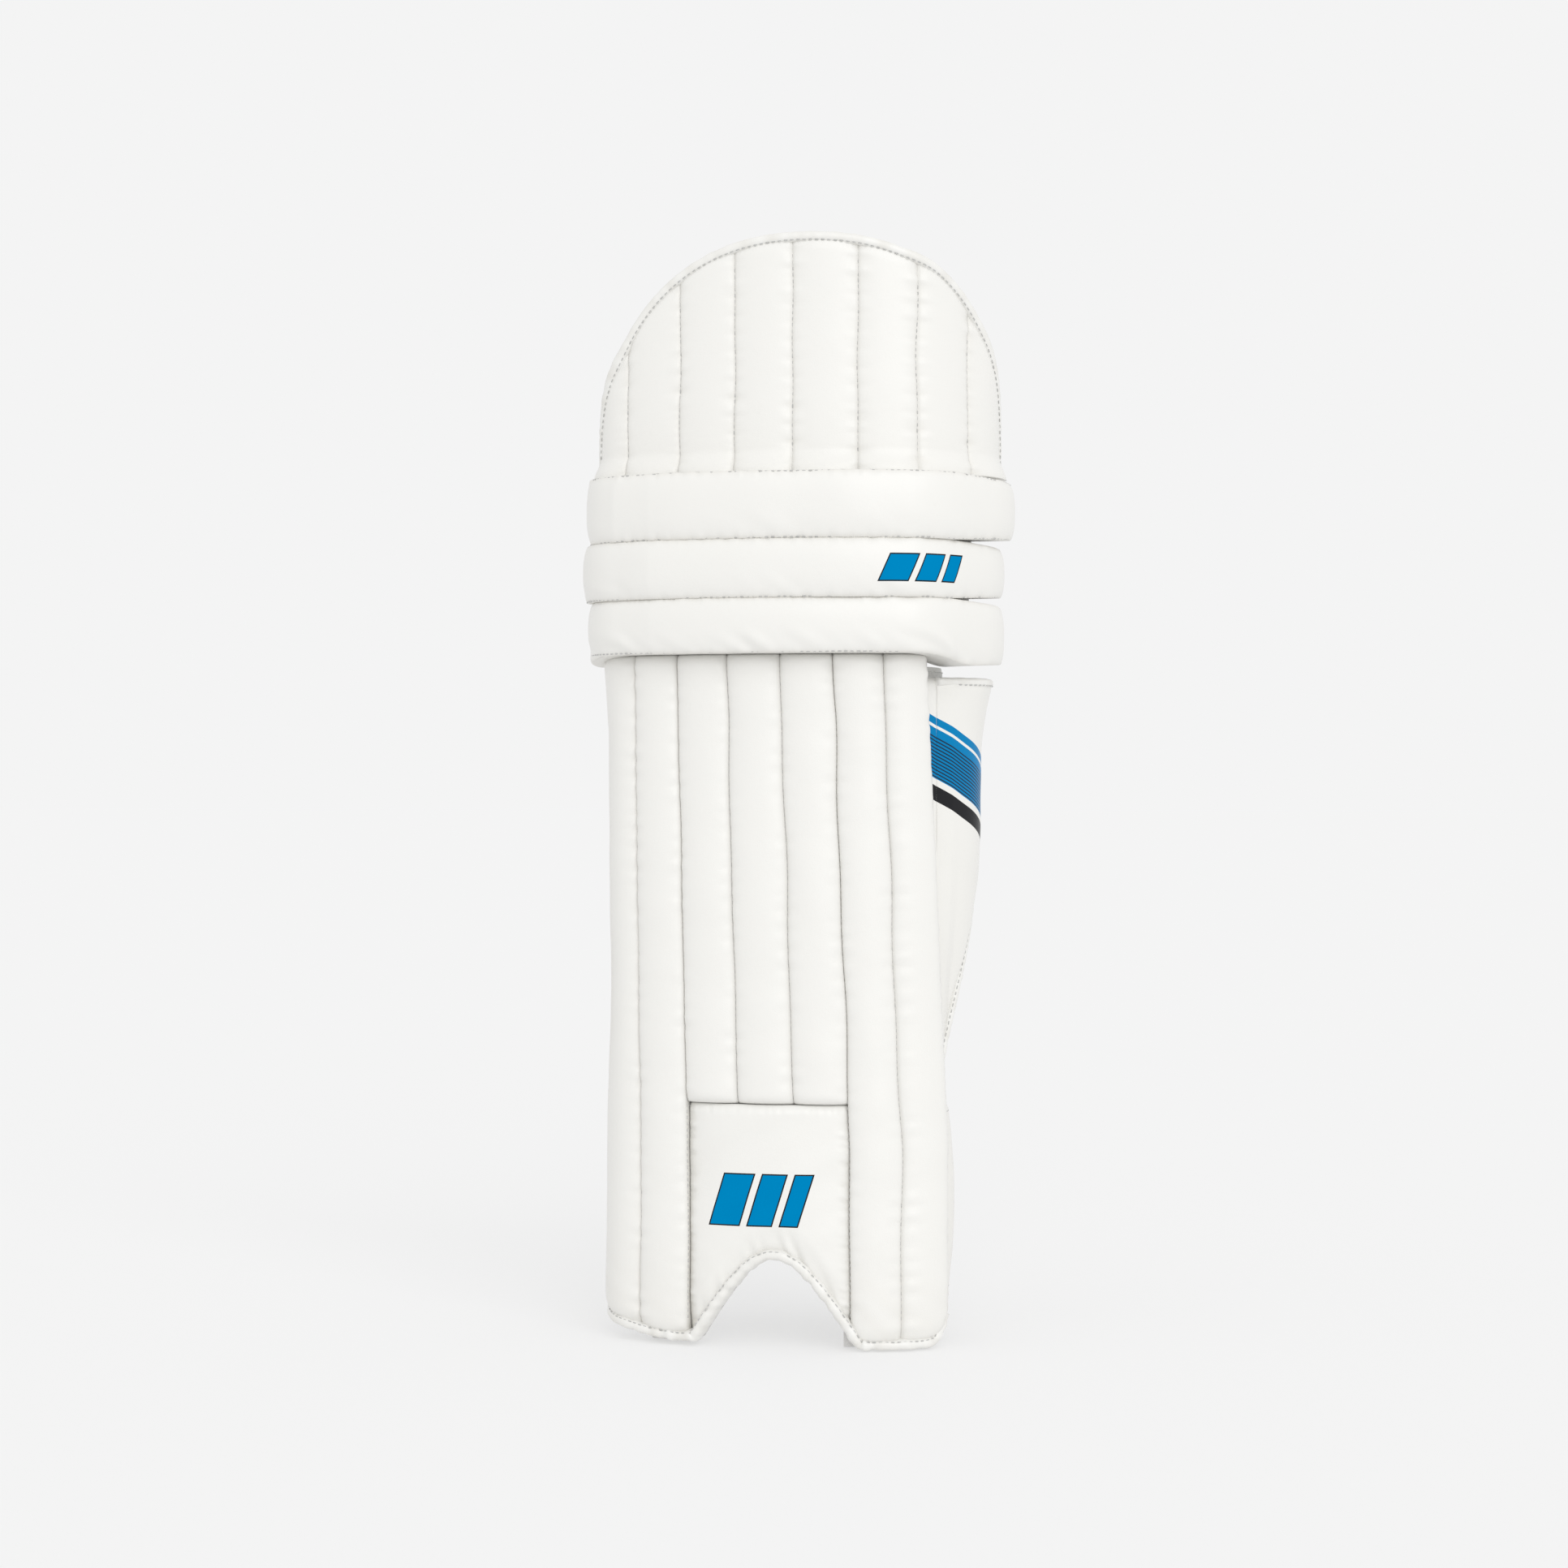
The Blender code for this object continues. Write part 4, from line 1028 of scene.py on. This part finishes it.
def make_wing():
    rows, columns = 120, 60
    z = np.linspace(WING_BOTTOM + 1.5, WING_TOP - 1.5, rows)[:, None] + np.zeros((1, columns))
    part = np.linspace(0, 1, columns)[None, :]
    u = WING_START + 0.3 + (wing_edge(z) + 3.0 - WING_START) * part
    edge = np.minimum(np.minimum(z - WING_BOTTOM, WING_TOP - z), wing_edge(z) + 6 - u)
    hollow = 0.45 + 0.55 * close_edge(edge, 9)
    face = wing_flare(u, z) + (wing_face(u, z) - wing_flare(u, z)) * hollow
    face = face + 0.25 * ripple(z + 0.7 * u, 151, 55) * hollow
    pillow_panel("outer_wing_panel", u, z, face, wing_flare(u, z) + 0.7, "outer_wing", "leather_wing",
                 ("outer_wing_cover", "outer_wing_foam"))
    pillow_panel("outer_wing_back", u, z, wing_flare(u, z) + 0.5, wing_flare(u, z) - 0.25, "outer_wing",
                 "lining", ("outer_wing_lining",))
    rim_z = np.linspace(WING_BOTTOM, WING_TOP, 90)
    bottom_u = np.linspace(WING_START + 1, wing_edge(WING_BOTTOM) + 7, 14)[:-1]
    top_u = np.linspace(WING_START + 1, wing_edge(WING_TOP) + 7, 20)[:-1]
    points = (list(zip(bottom_u, 0 * bottom_u + WING_BOTTOM)) + list(zip(wing_edge(rim_z) + 7, rim_z))
              + list(zip(top_u[::-1], 0 * top_u + WING_TOP)))
    curve, _run = edge_curve(points)
    lift = wing_flare(curve[:, 0], curve[:, 1])
    binding = (5.8, lift, 9.2 + lift)
    piece = bound_edge("outer_wing_edge", points, *binding, seed=19, wrinkle=0.3)
    finish_piece(piece, "binding", "outer_wing", ("outer_wing_binding",))
    stitches("outer_wing_stitches", [edge_stitches(points, *binding)], "outer_wing")


# ------------------------------------------------------------------ straps
def catmull_rom(points, per_span=10):
    points = np.array(points, float)
    route = []
    for i in range(1, len(points) - 2):
        a, b, c, d = points[i - 1:i + 3]
        for s in np.linspace(0, 1, per_span, endpoint=False):
            route.append(0.5 * (2 * b + (c - a) * s + (2 * a - 5 * b + 4 * c - d) * s ** 2
                                + (3 * b - a - 3 * c + d) * s ** 3))
    route.append(points[-2])
    return np.array(route)


def strap_route(ankle):
    spread, depth = (0.97, 5.5) if ankle else (1.0, 10.0)
    start = np.array(plan(-152.5, depth, spread))
    behind_wing = [np.array(plan(u, -6.8)) for u in (99, 85)]
    points = [start, start + (3, 22), start + (34, 46), (-42, 130), (20, 131), (72, 118), (99, 92), (104, 60)]
    points = points + behind_wing
    before, after = 2 * points[0] - points[1], 2 * points[-1] - points[-2]
    return catmull_rom([before] + points + [after])


def strap_sheet(name, route, low, width, inner, outer):
    along = directions(route)
    side = np.stack([along[:, 1], -along[:, 0]], axis=1)
    run = run_length(route)
    rows = 15
    q = np.sin(np.linspace(-np.pi / 2, np.pi / 2, rows))[:, None]
    z = low + width / 2 * (1 + q) + 0 * run[None, :]
    soft = 0.35 + 0.65 * (1 - np.abs(q) ** 6)
    sag = 0.35 * ripple(run[None, :] + 20 * q, int(low), 90)
    faces = []
    for depth in (outer, inner):
        middle = (outer + inner) / 2
        offset = middle + (depth - middle) * soft + sag
        faces.append(place(route[None, :, 0] + side[None, :, 0] * offset,
                           route[None, :, 1] + side[None, :, 1] * offset, z))
    uv = np.stack(np.broadcast_arrays(run[None, :], z), axis=-1)
    return solid_sheet(name, faces[0], faces[1], uv), side, run


def make_straps():
    for name, (low, width) in STRAPS.items():
        route = strap_route(name == "ankle_strap")
        piece, side, run = strap_sheet(name + "_band", route, low, width, -1.5, 1.5)
        finish_piece(piece, "strap", name, (name,))
        tape_route = route[-11:]
        tape, _side, _run = strap_sheet(name + "_tape", tape_route, low + 3, width - 6, 1.75, 2.9)
        finish_piece(tape, "hook", name, (name + "_hook_tape",))
        runs = []
        for z in (low + 3.0, low + width - 3.0):
            for direction in (1, -1):
                path = place(route[2:-2, 0] + side[2:-2, 0] * 1.45 * direction,
                             route[2:-2, 1] + side[2:-2, 1] * 1.45 * direction, z)
                normals = np.column_stack([side[2:-2] * direction, 0 * run[2:-2]])
                runs.append((path, normals))
        stitches(name + "_stitches", runs, name, "thread_light", 2.4, 1.2, 0.32)


# ------------------------------------------------------------------ cloth across the joints
def fold_strip(name, u, z, t, thickness, start, end, material, spread=1.0):
    """Cloth laid over the joint between two bodies, baked into the row frame and attached to neither of them.
    """
    outer, inner = wrap(u, z, t + thickness, spread), wrap(u, z, t, spread)
    piece = solid_sheet(name, outer, inner, np.stack([u, z], axis=-1))
    piece.data.materials.append(MATERIALS[material])
    face_out(piece)
    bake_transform(piece)


def make_folds():
    seams = (SHIN_TOP, ROLL_SEAM_LOWER, ROLL_SEAM_UPPER, HAT_BASE)
    for number, (seam, spread) in enumerate(zip(seams, (1.0, 1.0, 1.02, 1.06))):
        columns = np.linspace(-104 * spread, 116 if number == 0 else 150, 90)
        rows = np.linspace(-1, 1, 9)[:, None]
        reach = 2.0 + hinge_margin(columns, spread)
        u = columns[None, :] + 0 * rows
        z = seam + reach[None, :] * rows
        t = 1.6 + 0 * u
        low = Vector((0, 0, (seam - 2.5) * MM))
        high = Vector((0, 0, (seam + 2.5) * MM))
        fold_strip(f"knee_seam_cloth_{number + 1}", u, z, t, 1.6, low, high,
                   "lining", spread)
    rows = np.linspace(WING_BOTTOM + 1, WING_TOP - 0.5, 60)[:, None]
    columns = np.linspace(100.0, WING_START + 1.2, 18)[None, :]
    u, z = columns + 0 * rows, rows + 0 * columns
    edge = np.minimum(z - WING_BOTTOM, WING_TOP - z)
    thick = 6.3 * (0.45 + 0.55 * close_edge(edge, 9)) * (1 - 0.30 * smooth(280, 190, z))
    fold_strip("wing_fold_strip", u, z, 0.8 + 0 * u, thick,
               Vector(wrap(109.5, 300, 3.0)), Vector(wrap(114.0, 300, 3.0)), "leather_wing")


CAD_LOOKS = {"cane": "cane", "loop_patch": "loop"}


def dress_cad_nodes():
    for piece in list(bpy.data.objects):
        for word, material in CAD_LOOKS.items():
            if word in piece.name and piece.type == "MESH" and piece.material_slots:
                piece.material_slots[0].material = MATERIALS[material]


make_shin()
make_instep()
make_leg_binding()
make_lining()
make_bolsters()
make_inner_wing()
make_ankle_flap("inner_ankle_flap", -SHIN_EDGE - 1.3, SIDE_EDGE, 0.97)
make_ankle_flap("outer_ankle_flap", SHIN_EDGE + 2.0, OUTER_FLAP_END, 0.9)
make_rolls()
make_hat()
make_wing()
make_straps()
make_folds()
dress_cad_nodes()


# ------------------------------------------------------------------ stage, camera and light
FLOOR_GLOW, STUDIO_WHITE = 0.467, (0.905, 0.905, 0.905, 1)


def make_stage():
    bpy.ops.mesh.primitive_plane_add(size=80, location=(0, 0, 0))
    floor = bpy.context.object
    floor.name = "floor"
    material, _nodes, _links, shader = new_material("floor_paper", (0.42, 0.42, 0.42), 0.95, 0.0)
    shader.inputs["Emission Color"].default_value = (1, 1, 1, 1)
    shader.inputs["Emission Strength"].default_value = FLOOR_GLOW
    floor.data.materials.append(material)
    world = bpy.data.worlds.new("studio")
    world.use_nodes = True
    world.node_tree.nodes["Background"].inputs["Color"].default_value = STUDIO_WHITE
    world.node_tree.nodes["Background"].inputs["Strength"].default_value = 1.0
    bpy.context.scene.world = world
    bpy.context.scene.view_settings.view_transform = "Standard"


def make_sun(name, location, strength, width):
    """Very soft light from far away, aimed at the pad; the same brightness all over the floor."""
    light = bpy.data.lights.new(name, "SUN")
    light.energy, light.angle = strength, math.radians(width)
    lamp = bpy.data.objects.new(name, light)
    lamp.location = location
    lamp.rotation_euler = (Vector((0, 0, 0.4)) - Vector(location)).to_track_quat("-Z", "Y").to_euler()
    bpy.context.scene.collection.objects.link(lamp)


VIEW_AZIMUTH, CAMERA_DISTANCE, CAMERA_HEIGHT = math.radians(13), 2.0, 0.3617
CAMERA_LENS = 71.3
AIM_OFFSET = 0.0152                     # the photographed frame's centre is this far right of the seams


def make_camera():
    right = Vector((math.cos(VIEW_AZIMUTH), math.sin(VIEW_AZIMUTH), 0))
    ahead = Vector((-math.sin(VIEW_AZIMUTH), math.cos(VIEW_AZIMUTH), 0))
    aim = Vector((-CENTRE_X * MM, -CENTRE_Y * MM, CAMERA_HEIGHT)) + right * AIM_OFFSET
    camera = bpy.data.cameras.new("camera")
    camera.lens, camera.sensor_width = CAMERA_LENS, 36.0
    eye = bpy.data.objects.new("camera", camera)
    eye.location = aim - ahead * CAMERA_DISTANCE
    eye.rotation_euler = ahead.to_track_quat("-Z", "Y").to_euler()
    bpy.context.scene.collection.objects.link(eye)
    bpy.context.scene.camera = eye


make_stage()
make_sun("key", (1.15, -2.0, 1.6), 0.95, 50)
make_camera()
